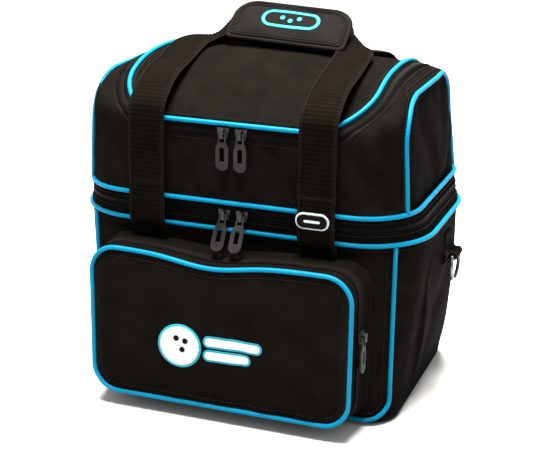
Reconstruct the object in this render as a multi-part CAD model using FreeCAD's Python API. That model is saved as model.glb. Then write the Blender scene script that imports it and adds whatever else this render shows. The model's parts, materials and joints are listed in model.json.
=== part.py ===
import FreeCAD, Part
import math
import os

from FreeCAD import Vector

# One-ball bowling bag. +Z is up, the front faces -Y, and the origin is the middle of the base.
# Lengths are in millimetres.

# Driving dimensions: the soft body
BASE_Z = 0.0
LOWER_PIPING_Z = 184.0
UPPER_PIPING_Z = 212.0
# Half width, half depth and corner radius; the inside is wide enough for a 218 mm ball.
BASE_SECTION = (160.0, 112.0, 30.0)
LOWER_SECTION = (178.0, 117.0, 68.0)
UPPER_SECTION = (167.0, 121.0, 55.0)
LOWER_WALL = 5.0
UPPER_WALL = 4.0
PIPING = 4.4

# Driving dimensions: upper compartment and lid
LID_FRONT_Y = -124.0
LID_FRONT_Z = 289.0
LID_TOP_Z = 338.0
DOME_REAR_Y = 104.0
DOME_REAR_Z = 301.0
LID_HALF_WIDTH = 126.0
LID_CORNER = 54.0
LID_HINGE_Y = 80.0
SIDE_TOP_X = 155.0
SIDE_TOP_Z = 317.0
SIDE_FRONT_Y = -95.0
FRONT_WALL_TOP_Z = 277.5

# Driving dimensions: front pocket
POCKET_BACK_Y = -117.0
POCKET_SPLIT_Y = -141.0
POCKET_FRONT_Y = -162.0
POCKET_HALF_WIDTH = 131.0
POCKET_BOTTOM_Z = 17.0
POCKET_TOP_Z = 165.0
POCKET_CORNER = 25.0
POCKET_WALL = 2.5

# Driving dimensions: handles
WEB_WIDTH = 38.0
WEB_THICK = 2.5
WEB_X = 86.0
HANDLE_HINGE_Z = 193.0
FRONT_BEND_Z = 245.0
BACK_BEND_Z = 255.0
BEND_CLEARANCE = 4.5
FRONT_WEB_Y = -132.0
BACK_WEB_Y = 130.5
GRIP_X = 5.0
GRIP_LENGTH = 124.0
GRIP_DEPTH = 46.0
GRIP_CENTRE = (8.0, 360.6)
GRIP_SLOPE = 35.0
PAD_THICK = 3.5

# Driving dimensions: hardware
SLIDER_X = 9.0
PULL_LENGTH = 36.0
PULL_THICK = 1.8
PULL_AXIS = 3.8
RING_Y = 20.0
RING_AXIS_X = 187.0
RING_AXIS_Z = 141.0
RING_WIRE = 2.0


def save(name, shape):
    """Write one named node, after checking that it is a sound solid."""
    if not shape.isValid() or shape.Volume <= 0:
        raise ValueError(name + " is not a valid solid")
    shape.exportStep("parts/" + name + ".step")
    print(name, len(shape.Solids), round(shape.Volume / 1000.0, 1))


def box(x0, x1, y0, y1, z0, z1):
    return Part.makeBox(x1 - x0, y1 - y0, z1 - z0, Vector(x0, y0, z0))


def joined(shapes):
    """Fuse shapes that touch into one solid."""
    result = shapes[0]
    for shape in shapes[1:]:
        result = result.fuse(shape)
    return result.removeSplitter()


def group(shapes):
    return Part.makeCompound(shapes)


def mirrored(shape):
    """The same shape on the other side of the bag."""
    return shape.mirror(Vector(0, 0, 0), Vector(1, 0, 0))


def rounded_wire(half_width, half_depth, radius, place):
    """Closed rounded rectangle; place maps flat coordinates (u, v) to a point."""
    corner = radius * (1.0 - math.sqrt(0.5))
    w = half_width
    d = half_depth
    r = radius
    edges = []
    for su, sv in ((1, -1), (1, 1), (-1, 1), (-1, -1)):
        along_first = su * sv < 0
        first = (su * (w - r), sv * d) if along_first else (su * w, sv * (d - r))
        last = (su * w, sv * (d - r)) if along_first else (su * (w - r), sv * d)
        middle = (su * (w - corner), sv * (d - corner))
        edges.append((first, middle, last))
    parts = []
    for index, (first, middle, last) in enumerate(edges):
        parts.append(Part.Arc(place(*first), place(*middle), place(*last)).toShape())
        following = edges[(index + 1) % 4][0]
        parts.append(Part.makeLine(place(*last), place(*following)))
    return Part.Wire(parts)


def section_at(z):
    """Half width, half depth and corner radius of the soft body at height z."""
    if z <= LOWER_PIPING_Z:
        low, high = BASE_SECTION, LOWER_SECTION
        part = (z - BASE_Z) / (LOWER_PIPING_Z - BASE_Z)
    else:
        low, high = LOWER_SECTION, UPPER_SECTION
        part = (z - LOWER_PIPING_Z) / (UPPER_PIPING_Z - LOWER_PIPING_Z)
    return tuple(a + (b - a) * part for a, b in zip(low, high))


def body_block(z0, z1, outset):
    """Solid slice of the body between two heights, grown sideways by outset."""
    wires = []
    for z in (z0, z1):
        half_width, half_depth, radius = section_at(z)
        wires.append(rounded_wire(half_width + outset, half_depth + outset, radius + outset,
                                  lambda u, v, z=z: Vector(u, v, z)))
    return Part.makeLoft(wires, True, True)


def body_ring(z0, z1, outer, inner):
    return body_block(z0, z1, outer).cut(body_block(z0, z1, inner))


def face_of(points, arcs, place):
    """Face bounded by straight sides, with arcs through a middle point where named."""
    edges = []
    for index, start in enumerate(points):
        end = points[(index + 1) % len(points)]
        if index in arcs:
            edges.append(Part.Arc(place(*start), place(*arcs[index]), place(*end)).toShape())
        else:
            edges.append(Part.makeLine(place(*start), place(*end)))
    return Part.Face(Part.Wire(edges))


def upper_block(inset, bottom_z=UPPER_PIPING_Z):
    """Solid upper compartment, domed lid included, shrunk by inset."""
    i = inset
    reach = 180.0
    depth = UPPER_SECTION[1]
    profile = [(-depth + i, bottom_z), (LID_FRONT_Y + i, LID_FRONT_Z - 0.4 * i), (0, LID_TOP_Z - i),
               (DOME_REAR_Y - 0.5 * i, DOME_REAR_Z - 0.85 * i), (depth - 4 - i, 280), (depth - i, bottom_z)]
    arcs = {1: (LID_FRONT_Y / 2 + 0.5 * i, 324 - 0.9 * i), 2: (60 - 0.4 * i, 325 - 0.9 * i),
            3: (depth - 8.5 - 0.9 * i, 292.5 - 0.5 * i)}
    side = face_of(profile, arcs, lambda y, z: Vector(-reach, y, z))
    side_prism = side.extrude(Vector(2 * reach, 0, 0))
    outline = [(-167 + i, bottom_z), (-SIDE_TOP_X + i, SIDE_TOP_Z - 0.3 * i),
               (-LID_HALF_WIDTH + 0.35 * i, LID_TOP_Z + 1 - i), (0, LID_TOP_Z + 8 - i),
               (LID_HALF_WIDTH - 0.35 * i, LID_TOP_Z + 1 - i),
               (SIDE_TOP_X - i, SIDE_TOP_Z - 0.3 * i), (167 - i, bottom_z)]
    front = face_of(outline, {}, lambda x, z: Vector(x, -reach, z))
    front_prism = front.extrude(Vector(0, 2 * reach, 0))
    plan = rounded_wire(168 - i, 1 - LID_FRONT_Y - i, 55 - i, lambda u, v: Vector(u, v, bottom_z))
    plan_prism = Part.Face(plan).extrude(Vector(0, 0, 200))
    return side_prism.common(front_prism).common(plan_prism)


def lid_prism(outset, rear_y=LID_HINGE_Y):
    """Upright prism over the lid's outline, rounded at the two front corners."""
    w = LID_HALF_WIDTH + outset
    front = LID_FRONT_Y - outset
    r = LID_CORNER + outset
    corner = r * (1.0 - math.sqrt(0.5))
    points = [(w, rear_y), (-w, rear_y), (-w, front + r), (-w + r, front), (w - r, front), (w, front + r)]
    arcs = {2: (-w + corner, front + corner), 4: (w - corner, front + corner)}
    face = face_of(points, arcs, lambda x, y: Vector(x, y, 200))
    return face.extrude(Vector(0, 0, 200))


def side_outline_prism(outset, x0, x1):
    """Prism across the bag with the outline of the upper side panel."""
    front = SIDE_FRONT_Y - outset
    rear = LID_HINGE_Y + outset
    top = SIDE_TOP_Z + outset
    r = 43.0 + outset
    q = 40.0 + outset
    k = 1.0 - math.sqrt(0.5)
    bottom = 150.0
    points = [(front, bottom), (front, top - r), (front + r, top), (rear - q, top), (rear, top - q),
              (rear, bottom)]
    arcs = {1: (front + k * r, top - k * r), 3: (rear - k * q, top - k * q)}
    face = face_of(points, arcs, lambda y, z: Vector(x0, y, z))
    return face.extrude(Vector(x1 - x0, 0, 0))


def front_outline_prism(outset):
    """Prism through the bag's front with the outline of the lower front panel."""
    w = 155.5 + outset
    bottom = 5.0 - outset
    r = 20.0 + outset
    k = 1.0 - math.sqrt(0.5)
    points = [(-w, 230), (-w, bottom + r), (-w + r, bottom), (w - r, bottom), (w, bottom + r), (w, 230)]
    arcs = {1: (-w + k * r, bottom + k * r), 3: (w - k * r, bottom + k * r)}
    face = face_of(points, arcs, lambda x, z: Vector(x, -200, z))
    return face.extrude(Vector(0, 160, 0))


def lower_body():
    base = body_block(0, 3, 0)
    save("base_panel", base)
    board = body_block(3.3, 6.3, -LOWER_WALL - 1.0)
    save("base_board", board)
    cup_block = body_block(6.6, 38, -LOWER_WALL - 6.0)
    ball = Part.makeSphere(110.0, Vector(0, 0, 122))
    save("ball_cup", cup_block.cut(ball))

    wall = body_ring(3, LOWER_PIPING_Z, 0, -LOWER_WALL)
    front_zone = box(-155.5, 155.5, -150, -40, 0, 230)
    back_zone = box(-140, 140, 40, 150, 0, 230)
    save("lower_front_panel", wall.common(front_zone))
    save("lower_back_panel", wall.common(back_zone))
    sides = wall.cut(front_zone).cut(back_zone)
    save("lower_left_panel", sides.common(box(-200, 0, -150, 150, 0, 230)))
    save("lower_right_panel", sides.common(box(0, 200, -150, 150, 0, 230)))

    skin = body_ring(3, LOWER_PIPING_Z - PIPING / 2, PIPING, 0)
    u_band = front_outline_prism(PIPING / 2).cut(front_outline_prism(-PIPING / 2))
    save("lower_front_piping", skin.common(u_band))
    below = body_ring(LOWER_PIPING_Z - PIPING / 2, LOWER_PIPING_Z, PIPING, 0)
    over = body_ring(LOWER_PIPING_Z, LOWER_PIPING_Z + PIPING / 2, PIPING, 0)
    save("lower_band_piping", joined([below, over]))
    save("lower_band", body_ring(LOWER_PIPING_Z, 196, 0, -LOWER_WALL))
    save("lower_zip_chain", body_ring(196.2, 199.6, 1.0, -1.5))


def flip_hinge():
    """Fabric hinge sewn to the lower band, behind the two halves of the chain."""
    near_y = section_at(200)[1] + 1.4
    save("rear_hinge_strip", box(-110, 110, near_y, near_y + 1.4, 187, 198.8))


def upper_compartment():
    save("upper_zip_chain", body_ring(200.2, 203.6, 1.0, -1.5))
    save("upper_band", body_ring(203.8, UPPER_PIPING_Z, 0, -UPPER_WALL))
    cord = body_block(UPPER_PIPING_Z - PIPING / 2, UPPER_PIPING_Z + PIPING / 2, PIPING)
    save("upper_band_piping", cord.cut(body_block(200, UPPER_PIPING_Z, 0)).cut(upper_block(0)))
    save("divider_floor", body_block(204, 207, -UPPER_WALL - 0.5))

    shell = upper_block(0).cut(upper_block(UPPER_WALL, UPPER_PIPING_Z - 1))
    front_zone = box(-118, 118, -150, -60, 200, FRONT_WALL_TOP_Z)
    lid_zone = lid_prism(0.4)
    back_zone = box(-200, 200, LID_HINGE_Y + 0.4, 160, 200, 400)
    save("upper_front_wall", shell.common(front_zone))
    save("upper_back_wall", shell.common(back_zone))
    rest = shell.cut(front_zone).cut(back_zone)
    skin = upper_block(-PIPING).cut(upper_block(0))
    above = box(-200, 200, -160, LID_HINGE_Y + 3, UPPER_PIPING_Z + PIPING / 2 + 0.2, 400)
    pipings = []
    for side, x0, x1 in (("left", -200, -100), ("right", 100, 200)):
        side_zone = side_outline_prism(0, x0, x1)
        half = box(min(x0, 0), max(x1, 0), -160, 160, 200, 400)
        panel = rest.common(side_zone)
        save("upper_" + side + "_panel", panel)
        gusset = rest.cut(side_zone).cut(lid_zone).common(half)
        gusset = gusset.cut(box(-118, 118, -150, -60, 200, LID_FRONT_Z))
        save("upper_" + side + "_gusset", gusset)
        band = side_outline_prism(PIPING / 2, x0, x1).cut(side_outline_prism(-PIPING / 2, x0, x1))
        pipings.append(skin.common(band).common(above))
    save("upper_side_piping", group(pipings))
    rim = lid_prism(0.4, 70).cut(lid_prism(-3, 76))
    rim = rim.common(dropped(8.6)).cut(dropped(12.0)).common(box(-200, 200, -160, 70, 200, 400))
    save("lid_opening_zip_chain", rim)


def dropped(amount):
    """The upper compartment's block lowered by an amount, used to cut layers under the lid."""
    block = upper_block(0)
    block.translate(Vector(0, 0, -amount))
    return block


def lid():
    shell = upper_block(0).cut(upper_block(UPPER_WALL - 0.5, UPPER_PIPING_Z - 1))
    panel = shell.common(lid_prism(0)).common(box(-200, 200, -160, 160, LID_FRONT_Z - 2.6, 400))
    save("lid_panel", panel)
    skin = upper_block(-PIPING).cut(upper_block(0))
    ring = lid_prism(PIPING / 2, 76).cut(lid_prism(-PIPING / 2, 77))
    save("lid_piping", skin.common(ring).common(box(-200, 200, -160, 76, LID_FRONT_Z - 2.6, 400)))
    chain = lid_prism(0, 70).cut(lid_prism(-3, 76)).common(dropped(4.4)).cut(dropped(8.0))
    chain = chain.cut(panel)
    save("lid_zip_chain", chain.common(box(-200, 200, -160, 70, 200, 400)))


def pocket_block(y0, y1, inset):
    """Slice of the pocket between two depths; it is a little larger towards the bag."""
    wires = []
    for y in (y0, y1):
        part = (y - POCKET_FRONT_Y) / (POCKET_BACK_Y - POCKET_FRONT_Y)
        half_width = POCKET_HALF_WIDTH + 6.0 * part - inset
        bottom = POCKET_BOTTOM_Z - 8.0 * part + inset
        top = POCKET_TOP_Z + 3.0 * part - inset
        middle = (bottom + top) / 2
        wires.append(rounded_wire(half_width, (top - bottom) / 2, POCKET_CORNER - inset,
                                  lambda u, v, y=y, m=middle: Vector(u, y, m + v)))
    return Part.makeLoft(wires, True, True)


def pocket():
    behind = body_block(0, LOWER_PIPING_Z, 0.3)
    gusset = pocket_block(POCKET_SPLIT_Y, -90, 0).cut(pocket_block(POCKET_SPLIT_Y - 1, -89, POCKET_WALL))
    save("pocket_gusset", gusset.cut(behind))
    split = POCKET_SPLIT_Y
    save("pocket_zip_chain", pocket_block(split - 3.4, split - 0.2, -0.8).cut(
        pocket_block(split - 4, split, 2.0)))
    tray = pocket_block(POCKET_FRONT_Y, split - 4.0, 0).cut(
        pocket_block(POCKET_FRONT_Y + 3.0, split - 3.0, POCKET_WALL))
    save("pocket_front", tray)
    save("pocket_piping", pocket_block(POCKET_FRONT_Y - 1.5, POCKET_FRONT_Y + 2.9, -3.2).cut(
        pocket_block(POCKET_FRONT_Y - 2, POCKET_FRONT_Y + 3.5, 0.0)))


def pocket_emblem():
    """Flat ball badge with three finger holes, and two bars beside it."""
    y = POCKET_FRONT_Y - 1.0
    disc = Part.makeCylinder(20, 1.0, Vector(-36, y, 78), Vector(0, 1, 0))
    holes = []
    for dx, dz in ((-3, 8), (6, 6), (3, -3)):
        holes.append(Part.makeCylinder(2.6, 3.0, Vector(-36 + dx, y - 1, 78 + dz), Vector(0, 1, 0)))
    badge = disc.cut(Part.makeCompound(holes))
    bars = [box(-10, 46, y, y + 1, 82, 90), box(-10, 34, y, y + 1, 68, 76)]
    save("pocket_emblem", group([badge] + bars))


def ribbon(points, thickness, x0, x1):
    """Strap solid that follows a side-view line of (y, z) points, between x0 and x1."""
    outer = []
    inner = []
    last = len(points) - 1
    for index, (y, z) in enumerate(points):
        before = points[max(index - 1, 0)]
        after = points[min(index + 1, last)]
        length = math.hypot(after[0] - before[0], after[1] - before[1])
        normal = ((after[1] - before[1]) / length, -(after[0] - before[0]) / length)
        outer.append(Vector(x0, y + normal[0] * thickness / 2, z + normal[1] * thickness / 2))
        inner.append(Vector(x0, y - normal[0] * thickness / 2, z - normal[1] * thickness / 2))
    corners = outer + inner[::-1]
    wire = Part.makePolygon(corners + [corners[0]])
    return Part.Face(wire).extrude(Vector(x1 - x0, 0, 0))


def grip_point(along, off):
    """Side-view point of the grip: along its slope, and off its middle plane."""
    slope = math.radians(GRIP_SLOPE)
    y = GRIP_CENTRE[0] + along * math.cos(slope) - off * math.sin(slope)
    z = GRIP_CENTRE[1] + along * math.sin(slope) + off * math.cos(slope)
    return (y, z)


def grip_place(shape):
    """Turn a shape drawn flat about the origin into the grip's sloping plane."""
    shape = shape.copy()
    shape.rotate(Vector(0, 0, 0), Vector(1, 0, 0), GRIP_SLOPE)
    shape.translate(Vector(GRIP_X, GRIP_CENTRE[0], GRIP_CENTRE[1]))
    return shape


def grip_plate(inset, z0, z1):
    """Grip outline drawn flat: square corners at the fold, large round ones opposite."""
    w = GRIP_LENGTH / 2 - inset
    d = GRIP_DEPTH / 2 - inset
    r = 22.0 - inset
    s = 4.0
    k = 1.0 - math.sqrt(0.5)
    points = [(-w + s, -d), (w - s, -d), (w, -d + s), (w, d - r), (w - r, d), (-w + r, d), (-w, d - r),
              (-w, -d + s)]
    arcs = {1: (w - k * s, -d + k * s), 3: (w - k * r, d - k * r), 5: (-w + k * r, d - k * r),
            7: (-w + k * s, -d + k * s)}
    face = face_of(points, arcs, lambda u, v: Vector(u, v, z0))
    return face.extrude(Vector(0, 0, z1 - z0))


def handle(name, path, side):
    """One webbing handle above its bend: two rising straps and the run that crosses in the grip."""
    half = WEB_WIDTH / 2
    straps = [ribbon(path, WEB_THICK, x - half, x + half) for x in (-WEB_X, WEB_X)]
    ends = [grip_point(-19.0, side * 2.45), grip_point(19.0, side * 2.45)]
    cross = ribbon(ends, WEB_THICK, -WEB_X - half, WEB_X + half)
    save(name, joined([straps[0], cross, straps[1]]))


def strap_run(x, y, bend_z):
    """Lower run of one strap, with round ends on its two bend lines."""
    half = WEB_WIDTH / 2
    run = ribbon([(y, HANDLE_HINGE_Z), (y, bend_z)], WEB_THICK, x - half, x + half)
    ends = [Part.makeCylinder(WEB_THICK / 2, WEB_WIDTH, Vector(x - half, y, z), Vector(1, 0, 0))
            for z in (HANDLE_HINGE_Z, bend_z)]
    return joined([run, ends[0], ends[1]])


def strap_tail(x, y, sign):
    """Webbing end sewn to the panel, rising to just below the strap's lowest bend."""
    half = WEB_WIDTH / 2
    line = [(sign * 120.5, 170), (sign * 122.5, 177), (y, 184), (y, HANDLE_HINGE_Z - 3.5)]
    return ribbon(line, WEB_THICK, x - half, x + half)


def handles():
    front_path = [(FRONT_WEB_Y, FRONT_BEND_Z + BEND_CLEARANCE), (FRONT_WEB_Y, 294),
                  (FRONT_WEB_Y + 3.5, 304), (-116, 315), (-99, 325), (-78, 332.5), (-52, 340),
                  (-27, 345.5), grip_point(-19.0, 2.45), grip_point(19.0, 2.45)]
    back_path = [(BACK_WEB_Y, BACK_BEND_Z + BEND_CLEARANCE), (BACK_WEB_Y, 275), (129, 290), (120, 304),
                 (100, 315), (75, 325), (54, 335), (38, 352),
                 grip_point(19.0, -2.45), grip_point(-19.0, -2.45)]
    handle("front_webbing", front_path, 1)
    handle("back_webbing", back_path, -1)
    for name, y, sign, bend_z in (("front", FRONT_WEB_Y, -1, FRONT_BEND_Z),
                                  ("back", BACK_WEB_Y, 1, BACK_BEND_Z)):
        save(name + "_strap_runs", group([strap_run(x, y, bend_z) for x in (-WEB_X, WEB_X)]))
        save(name + "_strap_tails", group([strap_tail(x, y, sign) for x in (-WEB_X, WEB_X)]))
    label_y = FRONT_WEB_Y - WEB_THICK / 2
    label = rounded_wire(16.5, 8, 7.5, lambda u, v: Vector(83 + u, label_y - 0.9, 207.5 + v))
    save("strap_label", Part.Face(label).extrude(Vector(0, 0.8, 0)))


def grip():
    layer = 3.9
    save("grip_front_pad", grip_place(grip_plate(3.0, layer, layer + PAD_THICK)))
    save("grip_back_pad", grip_place(grip_plate(3.0, -layer - PAD_THICK, -layer)))
    ring = grip_plate(0, layer, layer + PAD_THICK).cut(grip_plate(3.0, layer - 1, layer + PAD_THICK + 1))
    save("grip_front_binding", grip_place(ring))
    ring = grip_plate(0, -layer - PAD_THICK, -layer).cut(
        grip_plate(3.0, -layer - PAD_THICK - 1, -layer + 1))
    save("grip_back_binding", grip_place(ring))
    strip = Part.makeBox(100, 16, 0.7, Vector(-50, 2, 0.3))
    save("grip_hook_strip", grip_place(strip))
    strip = Part.makeBox(100, 16, 0.7, Vector(-50, 2, -1.0))
    save("grip_loop_strip", grip_place(strip))
    top = layer + PAD_THICK
    outer_wire = rounded_wire(31, 12, 11.5, lambda u, v: Vector(u, v, top))
    inner_wire = rounded_wire(27.5, 8.5, 8, lambda u, v: Vector(u, v, top - 1))
    outer = Part.Face(outer_wire).extrude(Vector(0, 0, 0.8))
    inner = Part.Face(inner_wire).extrude(Vector(0, 0, 3))
    dots = [Part.makeCylinder(2.6, 0.8, Vector(u, v, top)) for u, v in ((-9, 1.5), (9, 1.5), (0, -2))]
    save("grip_emblem", grip_place(group([outer.cut(inner)] + dots)))


def slider():
    """Zip slider drawn about the origin, its back face on the plane y = 0."""
    plate = face_of([(-4.5, -5.5), (4.5, -5.5), (6, 5), (-6, 5)], {}, lambda x, z: Vector(x, -2.2, z))
    body = plate.extrude(Vector(0, 2.2, 0))
    posts = [box(-1.6, 1.6, -5.4, -2.2, z, z + 1.6) for z in (-4.4, 2.8)]
    bridge = box(-1.6, 1.6, -6.8, -5.4, -4.4, 4.4)
    return joined([body, posts[0], posts[1], bridge])


def pull():
    """Pull drawn hanging from the origin: a bar for the bridge, two rails and a slotted tongue."""
    points = [(-3.9, 0.8), (3.9, 0.8), (3.9, -8), (6.4, -15), (6.4, -PULL_LENGTH + 5),
              (-6.4, -PULL_LENGTH + 5), (-6.4, -15), (-3.9, -8)]
    arcs = {4: (0, -PULL_LENGTH)}
    half = PULL_THICK / 2
    body = face_of(points, arcs, lambda x, z: Vector(x, -half, z)).extrude(Vector(0, PULL_THICK, 0))
    eye = box(-2.4, 2.4, -3, 3, -8.5, -0.8)
    slot = box(-2.4, 2.4, -3, 3, -PULL_LENGTH + 9, -14)
    return body.cut(eye).cut(slot)


def placed(shape, x, y, z, tilt=0.0, turn=0.0):
    """Copy a shape, tilt it about X, turn it about Z, and move it into place."""
    shape = shape.copy()
    shape.rotate(Vector(0, 0, 0), Vector(1, 0, 0), tilt)
    shape.rotate(Vector(0, 0, 0), Vector(0, 0, 1), turn)
    shape.translate(Vector(x, y, z))
    return shape


def zip_hardware():
    lid_y = LID_FRONT_Y - 0.9
    mid_y = -section_at(200)[1] - 1.5
    side_x = POCKET_HALF_WIDTH + 4.4
    side_y = POCKET_SPLIT_Y - 1.8
    for side, sign in (("left", -1), ("right", 1)):
        x = sign * SLIDER_X
        save("lid_slider_" + side, placed(slider(), x, lid_y, 281))
        save("lid_pull_" + side, placed(pull(), x, lid_y - PULL_AXIS, 281))
        save("mid_slider_" + side, placed(slider(), x, mid_y, 200))
        save("mid_pull_" + side, placed(pull(), x, mid_y - PULL_AXIS, 200, -32))
    save("pocket_slider", placed(slider(), side_x, side_y, 104, 0, 90))
    save("pocket_pull", placed(pull(), side_x + PULL_AXIS, side_y, 104, 0, 90))


def ring_loops():
    """Webbing loop and steel D-ring on each side of the band."""
    plate = box(176.4, 178.2, RING_Y - 12.5, RING_Y + 12.5, RING_AXIS_Z - 12, RING_AXIS_Z + 22)
    tube = Part.makeCylinder(5.2, 25, Vector(RING_AXIS_X, RING_Y - 12.5, RING_AXIS_Z), Vector(0, 1, 0))
    bore = Part.makeCylinder(2.8, 27, Vector(RING_AXIS_X, RING_Y - 13.5, RING_AXIS_Z), Vector(0, 1, 0))
    neck = box(177, RING_AXIS_X - 2.0, RING_Y - 12.5, RING_Y + 12.5, RING_AXIS_Z + 1.0, RING_AXIS_Z + 5.0)
    behind = body_block(100, LOWER_PIPING_Z, 0.3)
    loop = joined([plate, tube, neck]).cut(bore).cut(behind)
    save("right_ring_loop", loop)
    save("left_ring_loop", mirrored(loop))
    half = 16.0
    drop = 27.0
    axis = Vector(RING_AXIS_X, RING_Y, RING_AXIS_Z)
    rod = Part.makeCylinder(RING_WIRE, 2 * half, axis - Vector(0, half, 0), Vector(0, 1, 0))
    low_rear, low_front = axis + Vector(0, half, -6), axis + Vector(0, -half, -6)
    arc = Part.Arc(low_rear, axis + Vector(0, 0, -drop), low_front).toShape()
    path = Part.Wire([Part.makeLine(axis + Vector(0, half, 0), axis + Vector(0, half, -6)), arc,
                      Part.makeLine(axis + Vector(0, -half, -6), axis + Vector(0, -half, 0))])
    start = Part.Wire(Part.makeCircle(RING_WIRE, axis + Vector(0, half, 0), Vector(0, 0, 1)))
    bow = path.makePipeShell([start], True, False)
    balls = [Part.makeSphere(RING_WIRE, axis + Vector(0, s * half, 0)) for s in (-1, 1)]
    ring = joined([rod, bow, balls[0], balls[1]])
    save("right_d_ring", ring)
    save("left_d_ring", mirrored(ring))


os.makedirs("parts", exist_ok=True)
lower_body()
flip_hinge()
upper_compartment()
lid()
pocket()
pocket_emblem()
handles()
grip()
zip_hardware()
ring_loops()
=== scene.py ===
import json
import math

import bpy
import numpy as np
from mathutils import Matrix, Vector
from mathutils.bvhtree import BVHTree


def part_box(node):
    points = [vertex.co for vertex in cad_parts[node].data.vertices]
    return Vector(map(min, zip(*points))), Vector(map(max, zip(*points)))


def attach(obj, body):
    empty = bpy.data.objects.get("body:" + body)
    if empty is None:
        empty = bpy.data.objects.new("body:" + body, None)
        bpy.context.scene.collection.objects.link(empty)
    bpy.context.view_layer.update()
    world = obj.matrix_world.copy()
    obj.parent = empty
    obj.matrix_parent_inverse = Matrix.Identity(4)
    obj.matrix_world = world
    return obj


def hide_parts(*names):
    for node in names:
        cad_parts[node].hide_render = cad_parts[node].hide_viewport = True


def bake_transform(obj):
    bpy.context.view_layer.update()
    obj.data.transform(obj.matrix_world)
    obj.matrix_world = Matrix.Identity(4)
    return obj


# A soft one-ball bowling bag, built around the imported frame. Shapes are worked out in
# millimetres and made in metres. +Z is up and the bag's front faces -Y.

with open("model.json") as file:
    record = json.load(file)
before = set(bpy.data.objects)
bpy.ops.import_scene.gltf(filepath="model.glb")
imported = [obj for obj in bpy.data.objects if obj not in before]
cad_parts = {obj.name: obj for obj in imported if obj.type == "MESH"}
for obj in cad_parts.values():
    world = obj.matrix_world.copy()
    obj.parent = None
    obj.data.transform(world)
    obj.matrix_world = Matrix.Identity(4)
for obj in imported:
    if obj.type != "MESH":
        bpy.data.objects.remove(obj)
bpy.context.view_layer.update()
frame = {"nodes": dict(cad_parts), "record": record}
MM = 0.001
UP = np.array([0.0, 0.0, 1.0])


def node_box(node):
    """A CAD node's lowest and highest corner, in millimetres."""
    low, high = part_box(node)
    return np.array(low) / MM, np.array(high) / MM


def bell(distance, width):
    """1 at no distance, falling smoothly towards 0 over a width."""
    return np.exp(-(distance / width) ** 2)


def crown(distance, amount, reach):
    """Fullness that rises away from a panel's seams."""
    return amount * (1 - bell(distance, reach))


def soft_step(t):
    return t ** 2 * (3 - 2 * t)


def joined(*columns):
    """Points or grids of points from their coordinates."""
    return np.stack(np.broadcast_arrays(*columns), axis=-1)


def sheet_grid(x, y):
    return np.stack(np.meshgrid(x, y, indexing="ij"), axis=2)


def mirrored(points):
    """Points on the other side of the bag, in reverse order."""
    return points[::-1] * np.array([-1] + [1] * (points.shape[-1] - 1))


def arc(centre, radius, start, end, count):
    """Points (u, v) round a circle between two angles in degrees."""
    turn = np.radians(np.linspace(start, end, count))
    return np.asarray(centre) + radius * joined(np.cos(turn), np.sin(turn))


def run_lengths(path):
    """Distance along a path to each of its points."""
    return np.concatenate([[0], np.cumsum(np.linalg.norm(np.diff(path, axis=0), axis=1))])


def at_lengths(path, places):
    """Points of a path at chosen distances along it."""
    length = run_lengths(path)
    return np.stack([np.interp(places, length, column) for column in path.T], axis=1)


def resampled(path, step, closed=False):
    """The same path with points at even spacing."""
    path = np.asarray(path, dtype=float)
    if closed:
        path = np.vstack([path, path[:1]])
    total = run_lengths(path)[-1]
    count = max(int(round(total / step)), 2)
    result = at_lengths(path, np.linspace(0, total, count + 1))
    return result[:-1] if closed else result


# ---- Sizes --------------------------------------------------------------------------------

PIPING_WIDTH = 4.4
CORD = PIPING_WIDTH / 2
LOW_RING_LOW, LOW_RING_HIGH = node_box("lower_band_piping")
TOP_RING_LOW, TOP_RING_HIGH = node_box("upper_band_piping")
LOWER_Z = (LOW_RING_LOW[2] + LOW_RING_HIGH[2]) / 2
UPPER_Z = (TOP_RING_LOW[2] + TOP_RING_HIGH[2]) / 2
# Half width, half depth and corner radius of the body at three heights
BASE = np.array([160.0, 112.0, 30.0])
LOWER = np.array([LOW_RING_HIGH[0] - PIPING_WIDTH, LOW_RING_HIGH[1] - PIPING_WIDTH, 68.0])
UPPER = np.array([TOP_RING_HIGH[0] - PIPING_WIDTH, TOP_RING_HIGH[1] - PIPING_WIDTH, 55.0])

LID_LOW, LID_HIGH = node_box("lid_panel")
LID_HALF_WIDTH = LID_HIGH[0]
LID_FRONT = LID_LOW[1]
LID_REAR = LID_HIGH[1]
LID_CORNER = 54.0
LID_EDGE_Z = 289.0
DOME_Z = LID_HIGH[2]
SHOULDER_X = 155.0
SHOULDER_Z = 317.0
SIDE_FRONT = -95.0
SIDE_REAR = LID_REAR + 15.0
SIDE_FRONT_RADIUS = 43.0
SIDE_REAR_RADIUS = 40.0
DOME_REAR = (104.0, 301.0)

POCKET_LOW, POCKET_HIGH = node_box("pocket_front")
POCKET_FRONT = POCKET_LOW[1]
POCKET_SPLIT = POCKET_HIGH[1] + 4.0
POCKET_HALF = 131.0
POCKET_BOTTOM = 17.0
POCKET_TOP = 165.0
POCKET_CORNER = 25.0
POCKET_MIDDLE = (POCKET_BOTTOM + POCKET_TOP) / 2
FRONT_SEAM_X = 155.5
PATH_STEP = 4.0

WEB_X = 86.0
WEB_WIDTH = 38.0
WEB_THICK = 2.5
FRONT_WEB_Y = -132.0
BACK_WEB_Y = 130.5
GRIP_X = 5.0
GRIP_CENTRE = (8.0, 360.6)
GRIP_SLOPE = math.radians(35.0)
GRIP_HALF_LENGTH = 62.0
GRIP_HALF_DEPTH = 23.0


# ---- Materials ----------------------------------------------------------------------------


def node_material(name, colour, roughness, metallic=0.0, coat=0.0):
    """A material with one Principled shader; returns it with its node tree and shader."""
    material = bpy.data.materials.new(name)
    material.use_nodes = True
    shader = material.node_tree.nodes["Principled BSDF"]
    shader.inputs["Base Color"].default_value = (*colour, 1)
    shader.inputs["Roughness"].default_value = roughness
    shader.inputs["Metallic"].default_value = metallic
    shader.inputs["Coat Weight"].default_value = coat
    return material, material.node_tree, shader


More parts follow.
